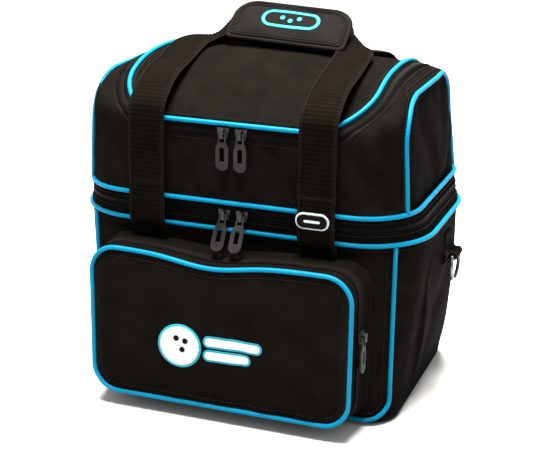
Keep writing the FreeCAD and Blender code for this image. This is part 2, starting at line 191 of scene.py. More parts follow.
def add(tree, kind, **values):
    """Add a shader node and set its properties or input values by name."""
    node = tree.nodes.new(kind)
    for key, value in values.items():
        if key in node.inputs:
            node.inputs[key].default_value = value
        else:
            setattr(node, key, value)
    return node


def coordinates(tree, use_uv):
    """Surface coordinates: the cloth's own flat millimetres, or the object's place."""
    source = tree.nodes.new("ShaderNodeTexCoord")
    return source.outputs["UV" if use_uv else "Object"]


def thread_wave(tree, vector, direction, pitch):
    """Bands of thread across one direction, one band every pitch millimetres."""
    scale = math.pi / (10.0 * pitch)
    wave = add(tree, "ShaderNodeTexWave", bands_direction=direction, Scale=scale, Distortion=0.6)
    wave.inputs["Detail"].default_value = 1.0
    wave.inputs["Detail Scale"].default_value = 0.6
    tree.links.new(vector, wave.inputs["Vector"])
    return wave.outputs["Fac"]


def mixed(tree, operation, first, second):
    node = add(tree, "ShaderNodeMath", operation=operation)
    for index, value in enumerate((first, second)):
        if isinstance(value, float):
            node.inputs[index].default_value = value
        else:
            tree.links.new(value, node.inputs[index])
    return node.outputs[0]


def noise(tree, vector, scale, detail=3.0, roughness=0.55):
    node = add(tree, "ShaderNodeTexNoise", Scale=scale, Detail=detail, Roughness=roughness)
    tree.links.new(vector, node.inputs["Vector"])
    return node.outputs["Fac"]


def shaded(tree, factor, dark, light, low=0.3, high=0.7):
    """Colour that runs from dark to light as factor runs from low to high."""
    ramp = tree.nodes.new("ShaderNodeValToRGB")
    ramp.color_ramp.elements[0].position = low
    ramp.color_ramp.elements[1].position = high
    ramp.color_ramp.elements[0].color = (*dark, 1)
    ramp.color_ramp.elements[1].color = (*light, 1)
    tree.links.new(factor, ramp.inputs["Fac"])
    return ramp.outputs["Color"]


def worn(tree, colour, wear_colour):
    """Mix in a paler rubbed colour where the mesh's wear attribute says so."""
    wear = add(tree, "ShaderNodeAttribute", attribute_name="wear")
    mix = add(tree, "ShaderNodeMix", data_type="RGBA")
    level = mixed(tree, "MULTIPLY", wear.outputs["Fac"], 0.5)
    tree.links.new(level, mix.inputs[0])
    tree.links.new(colour, mix.inputs[6])
    mix.inputs[7].default_value = (*wear_colour, 1)
    return mix.outputs[2]


def bumped(tree, shader, height, strength, distance):
    bump = add(tree, "ShaderNodeBump", Strength=strength, Distance=distance)
    tree.links.new(height, bump.inputs["Height"])
    tree.links.new(bump.outputs["Normal"], shader.inputs["Normal"])


def woven(name, dark, light, rubbed, warp, weft, roughness, bump, shine):
    """Cloth with threads at a warp and a weft pitch, cloudy colour, lint and rubbed edges."""
    material, tree, shader = node_material(name, dark, roughness)
    shader.inputs["Specular IOR Level"].default_value = shine
    vector = coordinates(tree, True)
    across = thread_wave(tree, vector, "X", warp)
    along = thread_wave(tree, vector, "Y", weft)
    threads = mixed(tree, "MAXIMUM", across, along)
    cloud = noise(tree, vector, 0.035, 4.0)
    lint = noise(tree, vector, 0.9, 2.0, 0.7)
    grain = mixed(tree, "MULTIPLY", threads, 0.35)
    level = mixed(tree, "ADD", mixed(tree, "MULTIPLY", cloud, 0.65), grain)
    colour = shaded(tree, level, dark, light, 0.25, 0.85)
    tree.links.new(worn(tree, colour, rubbed), shader.inputs["Base Color"])
    rough = mixed(tree, "ADD", mixed(tree, "MULTIPLY", lint, 0.18), roughness - 0.09)
    tree.links.new(rough, shader.inputs["Roughness"])
    height = mixed(tree, "ADD", threads, mixed(tree, "MULTIPLY", lint, 0.6))
    bumped(tree, shader, height, bump, 0.0004)
    return material


def hard(name, dark, light, roughness, metallic=0.0, coat=0.0, scale=600.0, bump=0.15, shine=0.12):
    """Moulded plastic or enamelled metal, with a fine grain and uneven gloss."""
    material, tree, shader = node_material(name, dark, roughness, metallic=metallic, coat=coat)
    shader.inputs["Specular IOR Level"].default_value = shine
    vector = coordinates(tree, False)
    grain = noise(tree, vector, scale, 3.0)
    patches = noise(tree, vector, 60.0, 3.0)
    colour = shaded(tree, patches, dark, light, 0.35, 0.75)
    tree.links.new(colour, shader.inputs["Base Color"])
    rough = mixed(tree, "ADD", mixed(tree, "MULTIPLY", patches, 0.2), roughness - 0.1)
    tree.links.new(rough, shader.inputs["Roughness"])
    bumped(tree, shader, grain, bump, 0.0002)
    return material


CLOTH = woven("black_polyester", (0.0012, 0.0010, 0.0008), (0.0043, 0.0036, 0.0030),
              (0.0100, 0.0086, 0.0074), 1.15, 0.95, 0.75, 0.5, 0.004)
GRIP_CLOTH = woven("grip_polyester", (0.0015, 0.0012, 0.0010), (0.0042, 0.0035, 0.0030),
                   (0.0095, 0.0082, 0.0072), 1.4, 1.4, 0.65, 0.7, 0.02)
WEBBING = woven("ribbed_webbing", (0.0010, 0.0007, 0.0005), (0.0034, 0.0026, 0.0019),
                (0.0090, 0.0072, 0.0057), 4.6, 1.9, 0.7, 0.9, 0.004)
TAPE = woven("zip_tape", (0.0009, 0.0008, 0.0007), (0.0030, 0.0026, 0.0023),
             (0.0066, 0.0059, 0.0053), 1.0, 0.7, 0.8, 0.5, 0.004)
BINDING = woven("black_binding", (0.0012, 0.0010, 0.0008), (0.0036, 0.0031, 0.0027),
                (0.0080, 0.0070, 0.0062), 1.6, 0.8, 0.6, 0.5, 0.02)
PIPING = woven("cyan_piping", (0.0, 0.080, 0.155), (0.0, 0.125, 0.225),
               (0.001, 0.155, 0.26), 1.3, 0.8, 0.42, 0.25, 0.04)
THREAD = woven("black_thread", (0.0030, 0.0026, 0.0022), (0.0090, 0.0078, 0.0070),
               (0.011, 0.0098, 0.0088), 0.7, 0.5, 0.5, 0.5, 0.03)
PRINT_WHITE = woven("white_print", (0.26, 0.30, 0.31), (0.36, 0.40, 0.40),
                    (0.28, 0.32, 0.34), 1.15, 0.95, 0.5, 0.35, 0.1)
PRINT_CYAN = woven("cyan_print", (0.0, 0.12, 0.17), (0.001, 0.17, 0.23),
                   (0.01, 0.19, 0.24), 1.15, 0.95, 0.45, 0.35, 0.1)
COIL = hard("black_coil", (0.0012, 0.0011, 0.0011), (0.0042, 0.0039, 0.0037), 0.5, shine=0.04)
ENAMEL = hard("black_enamel", (0.004, 0.004, 0.004), (0.012, 0.0115, 0.011), 0.3, 0.0, 0.15)
PULL = hard("moulded_pull", (0.004, 0.0038, 0.0036), (0.012, 0.0115, 0.011), 0.38)
RING = hard("gunmetal_ring", (0.05, 0.05, 0.055), (0.16, 0.16, 0.17), 0.32, 0.9, 0.0)
BOARD = hard("grey_board", (0.20, 0.18, 0.15), (0.30, 0.27, 0.23), 0.85, scale=300.0)
NAP = hard("hook_and_loop", (0.005, 0.005, 0.005), (0.015, 0.015, 0.015), 0.9, scale=1800.0, bump=0.9)


# ---- Mesh tools ---------------------------------------------------------------------------


def finish_piece(piece, body, nodes, material, slot):
    """Give a piece its material and body, and hide the CAD nodes that it stands for. The slot is not used.
    """
    piece.data.materials.append(material)
    if nodes:
        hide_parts(*nodes)
    if body:
        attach(piece, body)
    return piece


def mesh_object(name, vertices, faces, uvs=None, wear=None):
    """Object from points in millimetres, with flat cloth coordinates and wear if given."""
    mesh = bpy.data.meshes.new(name)
    mesh.from_pydata((np.asarray(vertices) * MM).tolist(), [], faces)
    if uvs is not None:
        layer = mesh.uv_layers.new(name="flat")
        loops = np.empty(len(mesh.loops), dtype=np.int32)
        mesh.loops.foreach_get("vertex_index", loops)
        layer.data.foreach_set("uv", np.asarray(uvs, dtype=np.float32)[loops].ravel())
    if wear is not None:
        attribute = mesh.attributes.new("wear", "FLOAT", "POINT")
        attribute.data.foreach_set("value", np.asarray(wear, dtype=np.float32).ravel())
    mesh.polygons.foreach_set("use_smooth", [True] * len(mesh.polygons))
    mesh.validate()
    mesh.update()
    piece = bpy.data.objects.new(name, mesh)
    bpy.context.scene.collection.objects.link(piece)
    return piece


def grid_faces(rows, columns, wrap_rows=False, wrap_columns=False):
    faces = []
    for i in range(rows if wrap_rows else rows - 1):
        for j in range(columns if wrap_columns else columns - 1):
            a = i * columns + j
            b = i * columns + (j + 1) % columns
            c = ((i + 1) % rows) * columns + (j + 1) % columns
            d = ((i + 1) % rows) * columns + j
            faces.append((a, b, c, d))
    return faces


def flat_coordinates(points):
    """Running lengths along both directions of a grid of points."""
    along = np.zeros(points.shape[:2])
    across = np.zeros(points.shape[:2])
    along[1:] = np.cumsum(np.linalg.norm(np.diff(points, axis=0), axis=2), axis=0).mean(1)[:, None]
    across[:, 1:] = np.cumsum(np.linalg.norm(np.diff(points, axis=1), axis=2), axis=1)
    return np.stack([along, across], axis=2).reshape(-1, 2)


def edge_wear(rows, columns, wrap_rows):
    """1 on the grid's outer edges, fading to 0 a few points in."""
    i, j = np.meshgrid(np.arange(rows), np.arange(columns), indexing="ij")
    near = np.minimum(j, columns - 1 - j)
    if not wrap_rows:
        near = np.minimum(near, np.minimum(i, rows - 1 - i))
    return bell(near, 1.6)


def cloth_piece(name, points, centre, thick, wrap=False, levels=1, settling=None):
    """Cloth from a grid of outer points: faces away from centre, thick inwards.

    settling is (pressure, slack, cap) for a panel that a short simulation swells."""
    rows, columns = points.shape[:2]
    faces = grid_faces(rows, columns, wrap_rows=wrap)
    flat = points.reshape(-1, 3)
    corners = flat[np.array(faces)]
    normals = np.cross(corners[:, 1] - corners[:, 0], corners[:, 3] - corners[:, 0])
    outward = corners.mean(1) - np.asarray(centre)
    if (normals * outward).sum() < 0:
        faces = [face[::-1] for face in faces]
    piece = mesh_object(name, flat, faces, flat_coordinates(points), edge_wear(rows, columns, wrap))
    if settling:
        settle(piece, *settling)
    shell = piece.modifiers.new("thickness", "SOLIDIFY")
    shell.thickness = thick * MM
    shell.offset = -1
    shell.use_even_offset = False
    if levels:
        smooth = piece.modifiers.new("smooth", "SUBSURF")
        smooth.levels = levels
        smooth.render_levels = levels
    return piece


def tangents(path, closed):
    if closed:
        step = np.roll(path, -1, axis=0) - np.roll(path, 1, axis=0)
    else:
        step = np.gradient(path, axis=0)
    return step / np.linalg.norm(step, axis=1)[:, None]


def frames_along(path, axis, closed):
    """Tangent, side and lift directions along a path that never runs along axis."""
    forward = tangents(path, closed)
    side = np.cross(np.broadcast_to(axis, forward.shape), forward)
    side /= np.linalg.norm(side, axis=1)[:, None]
    return forward, side, np.cross(forward, side)


def tube(name, path, axis, radius, closed=False):
    """Round cord along a path that never runs along axis."""
    sides = 12
    path = np.asarray(path, dtype=float)
    _, side, lift = frames_along(path, axis, closed)
    turn = np.linspace(0, 2 * math.pi, sides, endpoint=False)
    ring = np.cos(turn)[None, :, None] * side[:, None] + np.sin(turn)[None, :, None] * lift[:, None]
    vertices = (path[:, None] + radius * ring).reshape(-1, 3)
    uvs = joined(run_lengths(path)[:, None], (turn * radius)[None]).reshape(-1, 2)
    faces = grid_faces(len(path), sides, wrap_rows=closed, wrap_columns=True)
    if not closed:
        last = len(vertices) - sides
        faces.append(tuple(range(sides))[::-1])
        faces.append(tuple(range(last, last + sides)))
    return mesh_object(name, vertices, faces, uvs, np.zeros(len(vertices)))


def repeated(name, origins, axes, template, faces):
    """Many copies of a small template, each set in its own three axes."""
    count = len(template)
    placed = np.einsum("vk,nkc->nvc", template, axes) + origins[:, None]
    all_faces = []
    for copy in range(len(origins)):
        base = copy * count
        all_faces.extend([tuple(base + index for index in face) for face in faces])
    vertices = placed.reshape(-1, 3)
    uvs = np.tile(template[:, :2], (len(origins), 1))
    return mesh_object(name, vertices, all_faces, uvs, np.zeros(len(vertices)))


def capsule(length, radius, sides, rise):
    """Small rounded bar along the first axis, with its middle raised by rise."""
    rings = [(-0.5, 0.35), (-0.36, 1.0), (0.0, 1.0), (0.36, 1.0), (0.5, 0.35)]
    points = []
    for place, size in rings:
        for k in range(sides):
            angle = 2 * math.pi * k / sides
            points.append((place * length, radius * size * math.cos(angle),
                           radius * size * math.sin(angle) + rise * (1 - (2 * place) ** 2)))
    faces = grid_faces(len(rings), sides, wrap_columns=True)
    faces.append(tuple(range(sides))[::-1])
    faces.append(tuple(range(len(points) - sides, len(points))))
    return np.array(points), faces


def stations(path, lifts, pitch, closed):
    """Even places along a path on a surface, with the forward, side and lift directions there."""
    both = resampled(np.hstack([path, lifts]), pitch, closed)
    place, lift = both[:, :3], both[:, 3:]
    lift = lift / np.linalg.norm(lift, axis=1)[:, None]
    forward = tangents(place, closed)
    return place, forward, np.cross(lift, forward), lift


def stitches(name, path, lifts, pitch, closed=False):
    """Row of thread stitches that lie along a path on a surface with those normals."""
    place, forward, side, lift = stations(path, lifts, pitch, closed)
    template, faces = capsule(pitch * 0.74, 0.42, 6, 0.35)
    axes = np.stack([forward, side, lift], axis=1)
    return repeated(name, place + lift * 0.15, axes, template, faces)


def teeth(name, path, lifts, side_sign, closed):
    """One row of zip teeth beside a path, pointing across it."""
    pitch, width = 1.9, 3.0
    place, forward, side, lift = stations(path, lifts, pitch, closed)
    side = side * side_sign
    template, faces = capsule(width, 0.62, 6, 0.3)
    axes = np.stack([side, forward, lift], axis=1)
    shift = forward * (pitch / 2 if side_sign > 0 else 0.0)
    return repeated(name, place + side * width * 0.32 + shift, axes, template, faces)


# ---- Outlines -----------------------------------------------------------------------------


def ring_points(width, depth, radius, counts):
    """Closed rounded rectangle as (x, y), from the middle of the back round by the left.

    counts are the points on each depthways run, corner and widthways run."""
    along, corner, across = counts
    corners = ((-1, 1, 90), (-1, -1, 180), (1, -1, 270), (1, 1, 0))
    bends = [arc((sx * (width - radius), sy * (depth - radius)), radius, start, start + 90, corner + 1)
             for sx, sy, start in corners]
    points = []
    for index, bend in enumerate(bends):
        end, following = bend[-1], bends[(index + 1) % 4][0]
        count = across if index % 2 == 0 else along
        run = end + (following - end) * np.linspace(0, 1, count, endpoint=False)[:, None]
        points.append(np.vstack([bend[:-1], run]))
    return np.roll(np.vstack(points), along // 2, axis=0)


def u_line(half, low, radius, end, count):
    """Points (u, v) down the left side from v = end, along low and up the right side."""
    left = arc((-half + radius, low + radius), radius, 180, 270, count)
    return resampled(np.vstack([[(-half, end)], left, mirrored(left), [(half, end)]]), PATH_STEP)


def eased(count, start=0.0, end=1.0):
    """Values from 0 to 1 that crowd together near the chosen ends."""
    t = np.linspace(0, 1, count)
    smooth = (1 - np.cos(math.pi * t)) / 2
    weight = np.clip(start * (1 - t) + end * t, 0, 1)
    return t * (1 - weight) + smooth * weight


def corner_inset(distance, radius):
    """How far a rounded corner pulls the side in, at a distance from the corner's end."""
    short = np.clip(radius - distance, 0, radius)
    return radius - np.sqrt(np.maximum(radius ** 2 - short ** 2, 0))


def inside_by(u, v, left, right, low, high):
    """Distance inside a rectangle's nearest side, 0 outside it."""
    edge = np.minimum(np.minimum(u - left, right - u), np.minimum(v - low, high - v))
    return np.maximum(edge, 0)


def patch(left, right, low, high, radii, columns, rows):
    """Grid of (u, v) inside a rectangle whose corners may be rounded.

    radii are for the low left, low right, high right and high left corners."""
    v = low + (high - low) * eased(rows, 1.0, 1.0)
    low_left, low_right, high_right, high_left = radii
    start = left + corner_inset(v - low, low_left) + corner_inset(high - v, high_left)
    stop = right - corner_inset(v - low, low_right) - corner_inset(high - v, high_right)
    t = eased(columns, 0.35, 0.35)
    u = start[None, :] + (stop - start)[None, :] * t[:, None]
    return np.stack([u, np.broadcast_to(v, u.shape)], axis=2)


# ---- Lower body ---------------------------------------------------------------------------


def section_at(z):
    """Half width, half depth and corner radius of the soft body at height z."""
    if z <= LOWER_Z:
        return BASE + (LOWER - BASE) * (z / LOWER_Z)
    return LOWER + (UPPER - LOWER) * ((z - LOWER_Z) / (UPPER_Z - LOWER_Z))


def body_ring(z, outset=0.0):
    width, depth, radius = section_at(z)
    flat = ring_points(width + outset, depth + outset, radius + outset, (64, 14, 44))
    return np.hstack([flat, np.full((len(flat), 1), z)])


def front_y(x, z):
    """Front surface of the lower body at x and z."""
    result = []
    for px, pz in zip(np.atleast_1d(x), np.atleast_1d(z)):
        width, depth, radius = section_at(pz)
        over = max(abs(px) - (width - radius), 0.0)
        result.append(-(depth - radius + math.sqrt(max(radius ** 2 - over ** 2, 0.0))))
    return np.array(result)


def crease_depth(away, t, width, depth):
    """Depth of a fold by the distance from its line; it fades towards the line's ends."""
    taper = np.sin(math.pi * np.clip(t, 0.02, 0.98)) ** 0.5
    return depth * taper * bell(away, width)


def crease(points, start, end, width, depth):
    """Soft fold along a straight line in space."""
    start, end = np.asarray(start, dtype=float), np.asarray(end, dtype=float)
    line = end - start
    t = np.clip(((points - start) @ line) / (line @ line), 0, 1)
    away = np.linalg.norm(points - (start + t[..., None] * line), axis=-1)
    return crease_depth(away, t, width, depth)


def ripple(points, phase):
    """Gentle unevenness that cloth keeps from being carried and folded."""
    x, y, z = points[..., 0], points[..., 1], points[..., 2]
    return (np.sin(x / 31 + phase) * np.cos(z / 24 - phase) + np.sin((y + z) / 19 + 2 * phase)
            + 0.6 * np.sin((x - y) / 13 + z / 17 + phase)) / 2.6


def pucker(distance, along, size=0.5):
    """Small gathers beside a seam; distance is from the seam, along runs beside it."""
    pitch, reach = 8.5, 7.0
    return size * bell(distance, reach) * np.sin(2 * math.pi * along / pitch)


def outward_of(points):
    """Unit normals of a closed grid of points round the bag, away from its middle."""
    du = np.roll(points, -1, axis=0) - np.roll(points, 1, axis=0)
    dv = np.gradient(points, axis=1)
    normal = np.cross(du, dv)
    normal /= np.maximum(np.linalg.norm(normal, axis=2), 1e-9)[..., None]
    centre = points.reshape(-1, 3).mean(0) * np.array([0, 0, 1])
    flip = np.sign(((points - centre) * normal).sum(axis=2, keepdims=True))
    return normal * np.where(flip == 0, 1, flip)


def level_normals(ring):
    """Outward normals along a level ring round the bag."""
    return outward_of(np.stack([ring, ring + UP], axis=1))[:, 0]


def ridges_at(place, ridges):
    """Height of soft ridges given as (middle, width, size), at fractions across a strip."""
    return sum(size * bell(place - middle, width) for middle, width, size in ridges)


BAG_CENTRE = (0.0, 0.0, 170.0)


def settle(piece, pressure, slack, cap):
    """Let a panel, held along its edge, swell and wrinkle, then keep that shape.

    No point moves further than cap millimetres."""
    frames = 18
    mesh = piece.data
    uses = {}
    for polygon in mesh.polygons:
        for key in polygon.edge_keys:
            uses[key] = uses.get(key, 0) + 1
    held = sorted({index for key, count in uses.items() if count == 1 for index in key})
    group = piece.vertex_groups.new(name="held")
    group.add(held, 1.0, "REPLACE")
    cloth = piece.modifiers.new("cloth", "CLOTH")
    settings = cloth.settings
    settings.quality = 7
    settings.mass = 0.25
    settings.tension_stiffness = 20
    settings.compression_stiffness = 20
    settings.shear_stiffness = 8
    settings.bending_stiffness = 0.9
    settings.air_damping = 2.0
    settings.vertex_group_mass = "held"
    settings.shrink_min = -slack
    settings.use_pressure = True
    settings.uniform_pressure_force = pressure
    settings.effector_weights.gravity = 0
    cloth.point_cache.frame_start = 1
    cloth.point_cache.frame_end = frames
    scene = bpy.context.scene
    for number in range(1, frames + 1):
        scene.frame_set(number)
    result = piece.evaluated_get(bpy.context.evaluated_depsgraph_get()).data
    moved = np.empty(len(mesh.vertices) * 3)
    result.vertices.foreach_get("co", moved)
    start = np.empty_like(moved)
    mesh.vertices.foreach_get("co", start)
    shift = (moved - start).reshape(-1, 3)
    length = np.linalg.norm(shift, axis=1, keepdims=True)
    shift *= np.minimum(1.0, cap * MM / np.maximum(length, 1e-9))
    piece.modifiers.remove(cloth)
    piece.vertex_groups.clear()
    mesh.vertices.foreach_set("co", (start.reshape(-1, 3) + shift).ravel())
    mesh.update()
    scene.frame_set(1)


def panel(name, points, body, nodes, material, thick, centre=BAG_CENTRE, wrap=False, settling=None):
    piece = cloth_piece(name, points, centre, thick, wrap, settling=settling)
    return finish_piece(piece, body, nodes, material, "body_fabric")


def cord(name, path, axis, body, nodes, closed=False):
    piece = tube(name, path, axis, CORD, closed)
    return finish_piece(piece, body, nodes, PIPING, "piping_fabric")


def sewn(name, path, lifts, body, closed=False, pitch=4.2):
    return finish_piece(stitches(name, path, lifts, pitch, closed), body, (), THREAD, "body_fabric")


# Folds of the soft shell: both ends, width and depth
SHELL_FOLDS = (
    ((176, -70, 168), (172, 30, 60), 15, -3.0), ((177, 60, 160), (166, -20, 22), 17, -2.6),
    ((-177, -60, 165), (-168, 50, 40), 16, -2.8), ((-177, 70, 150), (-168, 0, 60), 13, -2.0),
    ((120, 117, 170), (20, 115, 40), 16, -2.2), ((-130, 117, 150), (-60, 115, 30), 16, -2.0),
    ((140, -112, 160), (146, -106, 30), 8, -1.6))


def lower_shell():
    """The lower compartment's four sides, fuller away from the seams and loosely folded."""
    heights = 1.2 + (LOWER_Z - 1.4) * eased(46, 0.5, 0.7)
    points = np.stack([body_ring(z) for z in heights], axis=1)
    normal = outward_of(points)
    x, y, z = points[..., 0], points[..., 1], points[..., 2]
    beside_seam = np.where(y < -40, np.abs(np.abs(x) - FRONT_SEAM_X), 99.0)
    seam = np.minimum(np.minimum(LOWER_Z - z, z + 4), beside_seam)
    fullness = 4.5 * normal[..., 0] ** 2 + np.where(normal[..., 1] < 0, 1.5, 4.5) * normal[..., 1] ** 2
    lift = crown(seam, 1.0, 38.0) * fullness
    folds = sum(crease(points, *line) for line in SHELL_FOLDS)
    lift += crown(seam, 1.0, 22.0) * (folds + 1.1 * ripple(points, 0.6))
    along = np.cumsum(np.linalg.norm(np.diff(points[:, 0], axis=0, append=points[:1, 0]), axis=1))
    lift += pucker(LOWER_Z - z, along[:, None])
    points = points + lift[..., None] * normal
    nodes = ("lower_front_panel", "lower_back_panel", "lower_left_panel", "lower_right_panel")
    panel("lower_shell_cloth", points, "lower_body", nodes, CLOTH, 3.4, wrap=True)


def base():
    width, depth, radius = BASE
    flat = patch(-width + 1, width - 1, -depth + 1, depth - 1, (radius,) * 4, 60, 44)
    edge = np.minimum(width - np.abs(flat[..., 0]), depth - np.abs(flat[..., 1]))
    height = 0.3 + 2.2 * bell(edge, 4.0)
    points = joined(flat[..., 0], flat[..., 1], height)
    panel("base_cloth", points, "lower_body", ("base_panel",), CLOTH, 2.4)


def front_outline(outset=0.0):
    """Line of the lower front panel's edge: down one side, along the bottom, up the other."""
    flat = u_line(FRONT_SEAM_X + outset, 5.0 - outset, 20.0 + outset, LOWER_Z - 1, 12)
    return joined(flat[:, 0], front_y(flat[:, 0], flat[:, 1]), flat[:, 1])


def lower_trim():
    """Piping and stitches of the lower compartment."""
    line = front_outline()
    line[:, 1] -= CORD * 0.75
    cord("lower_front_cord", line, (0, 1, 0), "lower_body", ("lower_front_piping",))
    inside = front_outline(-6.5)
    inside[:, 1] -= 0.6
    away = np.broadcast_to((0, -1, 0), inside.shape)
    sewn("lower_front_stitches", inside, away, "lower_body")
    ring = resampled(body_ring(LOWER_Z, CORD * 0.85), PATH_STEP, True)
    cord("lower_band_cord", ring, UP, "lower_body", ("lower_band_piping",), closed=True)
    line = body_ring(LOWER_Z - 6.0, 0.9)
    sewn("lower_hem_stitches", line, level_normals(line), "lower_body", True)


def band(name, low, high, body, nodes, ridges):
    """Strip of cloth round the bag between two heights, with soft ridges along it."""
    heights = np.linspace(low, high, 13)
    points = np.stack([body_ring(z) for z in heights], axis=1)
    normal = outward_of(points)
    place = (heights - low) / (high - low)
    x, y = points[..., 0], points[..., 1]
    waves = 0.35 * np.sin(x / 11 + y / 9) * np.sin(math.pi * place)[None, :]
    lift = ridges_at(place, ridges)[None, :] + waves
    return panel(name, points + lift[..., None] * normal, body, nodes, TAPE, 2.6, wrap=True)


def zip_line(name, path, lifts, side_sign, body, nodes, closed=False):
    piece = teeth(name, path, lifts, side_sign, closed)
    return finish_piece(piece, body, nodes, COIL, "zip_chain")


def mid_zip():
    """The band between the two piped seams: two tapes and the coil zip that parts them."""
    band("lower_band_cloth", LOWER_Z + 0.4, 197.6, "lower_body", ("lower_band",),
         ((0.42, 0.22, 1.5), (0.9, 0.14, 0.9)))
    band("upper_band_cloth", 202.4, UPPER_Z - 0.4, "upper_compartment", ("upper_band",),
         ((0.5, 0.3, 1.3), (0.06, 0.12, 0.8)))
    line = body_ring(200.0, 0.4)
    lifts = level_normals(line)
    zip_line("lower_coil", line, lifts, -1, "lower_body", ("lower_zip_chain",), True)
    zip_line("upper_coil", line, lifts, 1, "upper_compartment", ("upper_zip_chain",), True)
    ring = resampled(body_ring(UPPER_Z, CORD * 0.85), PATH_STEP, True)
    cord("upper_band_cord", ring, UP, "upper_compartment", ("upper_band_piping",), closed=True)
    for name, z, body in (("lower_tape_stitches", 193.6, "lower_body"),
                          ("upper_tape_stitches", 206.4, "upper_compartment")):
        line = body_ring(z, 1.4)
        sewn(name, line, level_normals(line), body, True)


# ---- Upper compartment ----------------------------------------------------------------------


def arc_through(first, middle, last):
    """Points along the circle through three points, without the last one."""
    first, middle, last = (np.array(point, dtype=float) for point in (first, middle, last))
    halfway = np.array([middle @ middle - first @ first, last @ last - middle @ middle]) / 2
    centre = np.linalg.solve(np.array([middle - first, last - middle]), halfway)
    start, end = (math.degrees(math.atan2(*(point - centre)[::-1])) for point in (first, last))
    turn = (end - start + 180) % 360 - 180
    return arc(centre, np.linalg.norm(first - centre), start, start + turn, 17)[:-1]


FLOOR_Z = 150.0
SIDE_PROFILE = np.vstack([
    [(-UPPER[1] + 2, FLOOR_Z), (-UPPER[1], UPPER_Z)],
    arc_through((LID_FRONT, LID_EDGE_Z), (LID_FRONT / 2, 324.0), (0.0, DOME_Z)),
    arc_through((0.0, DOME_Z), (60.0, 325.0), DOME_REAR),
    arc_through(DOME_REAR, (UPPER[1] - 8.5, 292.5), (UPPER[1] - 4, 280.0)),
    [(UPPER[1] - 4, 280.0), (UPPER[1], UPPER_Z), (UPPER[1] - 2, FLOOR_Z)]])
RIGHT_PROFILE = np.array([
    (0, DOME_Z + 6), (LID_HALF_WIDTH, DOME_Z - 5.5), (SHOULDER_X, SHOULDER_Z), (UPPER[0], UPPER_Z),
    (UPPER[0] + 7, FLOOR_Z)])
FRONT_PROFILE = np.vstack([mirrored(RIGHT_PROFILE[1:]), RIGHT_PROFILE])
PLAN_HALF = (167.5, 126.5)
PLAN_RADIUS = 60.0
ROUNDING = 9.0
REAR_TAPER = 0.03


def polygon_distance(points, polygon):
    """Signed distance to a closed outline in a plane: negative inside."""
    start = polygon
    line = np.roll(polygon, -1, axis=0) - polygon
    away = points[:, None] - start[None]
    t = np.clip((away * line).sum(2) / (line ** 2).sum(1), 0, 1)
    distance = np.linalg.norm(away - t[..., None] * line, axis=2).min(1)
    end = start + line
    above = (start[None, :, 1] > points[:, None, 1]) != (end[None, :, 1] > points[:, None, 1])
    rise = np.where(np.abs(line[:, 1]) < 1e-9, 1e-9, line[:, 1])
    crossing = start[None, :, 0] + (points[:, None, 1] - start[None, :, 1]) / rise * line[None, :, 0]
    inside = (above & (points[:, None, 0] < crossing)).sum(1) % 2 == 1
    return np.where(inside, -distance, distance)


def smooth_max(a, b):
    h = np.clip(0.5 + 0.5 * (a - b) / ROUNDING, 0, 1)
    return b + (a - b) * h + ROUNDING * h * (1 - h)


def upper_field(points):
    """Distance outside the upper compartment, negative inside, with soft edges."""
    behind = np.clip((points[:, 1] - 20.0) / 70.0, 0, 1)
    taper = REAR_TAPER * behind * np.clip((points[:, 2] - UPPER_Z) / 60.0, 0, 1)
    points = points * joined(1 + taper, np.ones_like(taper), np.ones_like(taper))
    side = polygon_distance(points[:, [1, 2]], SIDE_PROFILE)
    front = polygon_distance(points[:, [0, 2]], FRONT_PROFILE)
    over = np.abs(points[:, :2]) - np.array(PLAN_HALF) + PLAN_RADIUS
    plan = np.linalg.norm(np.maximum(over, 0), axis=1) + np.minimum(over.max(1), 0) - PLAN_RADIUS
    return smooth_max(smooth_max(side, front), plan)


def on_upper(points, rounds=7):
    """Move points to the upper compartment's surface; returns points and normals."""
    shape = points.shape
    place = points.reshape(-1, 3).astype(float).copy()
    step = 0.6
    for _ in range(rounds):
        value = upper_field(place)
        slope = np.stack([upper_field(place + step * axis) - upper_field(place - step * axis)
                          for axis in np.eye(3)], axis=1) / (2 * step)
        steep = np.maximum((slope ** 2).sum(1), 0.05)
        place -= 0.9 * (value / steep)[:, None] * slope
    normal = slope / np.maximum(np.linalg.norm(slope, axis=1), 1e-6)[:, None]
    return place.reshape(shape), normal.reshape(shape)


def dome_guess(flat):
    """Points over (x, y) at the domed side profile's height, near the surface."""
    return np.concatenate([flat, top_z(flat[..., 1])[..., None]], axis=-1)


def top_z(y):
    """Height of the domed side profile over y."""
    keep = SIDE_PROFILE[:, 1] > LID_EDGE_Z - 1
    return np.interp(y, SIDE_PROFILE[keep][:, 0], SIDE_PROFILE[keep][:, 1])


def shoulder_x(z):
    return np.interp(z, [UPPER_Z, SHOULDER_Z, DOME_Z + 1.5], [UPPER[0], SHOULDER_X, LID_HALF_WIDTH])


def lid_edge():
    """Sewn edge of the lid, from rear left round the front to rear right, with normals."""
    return on_upper(dome_guess(u_line(LID_HALF_WIDTH, LID_FRONT, LID_CORNER, LID_REAR - 3, 16)))


def slid(path, normals, distance):
    """A path on the upper surface moved sideways over it, away from the lid's middle."""
    lid_middle = np.array([0, -20.0, DOME_Z])
    steps = max(int(abs(distance) / 2.5), 1)
    for _ in range(steps):
        across = np.cross(tangents(path, False), normals)
        outward = np.sign(((path - lid_middle) * across).sum(1, keepdims=True))
        path, normals = on_upper(path + across * outward * distance / steps, rounds=4)
    return path, normals


EDGE, EDGE_NORMAL = lid_edge()


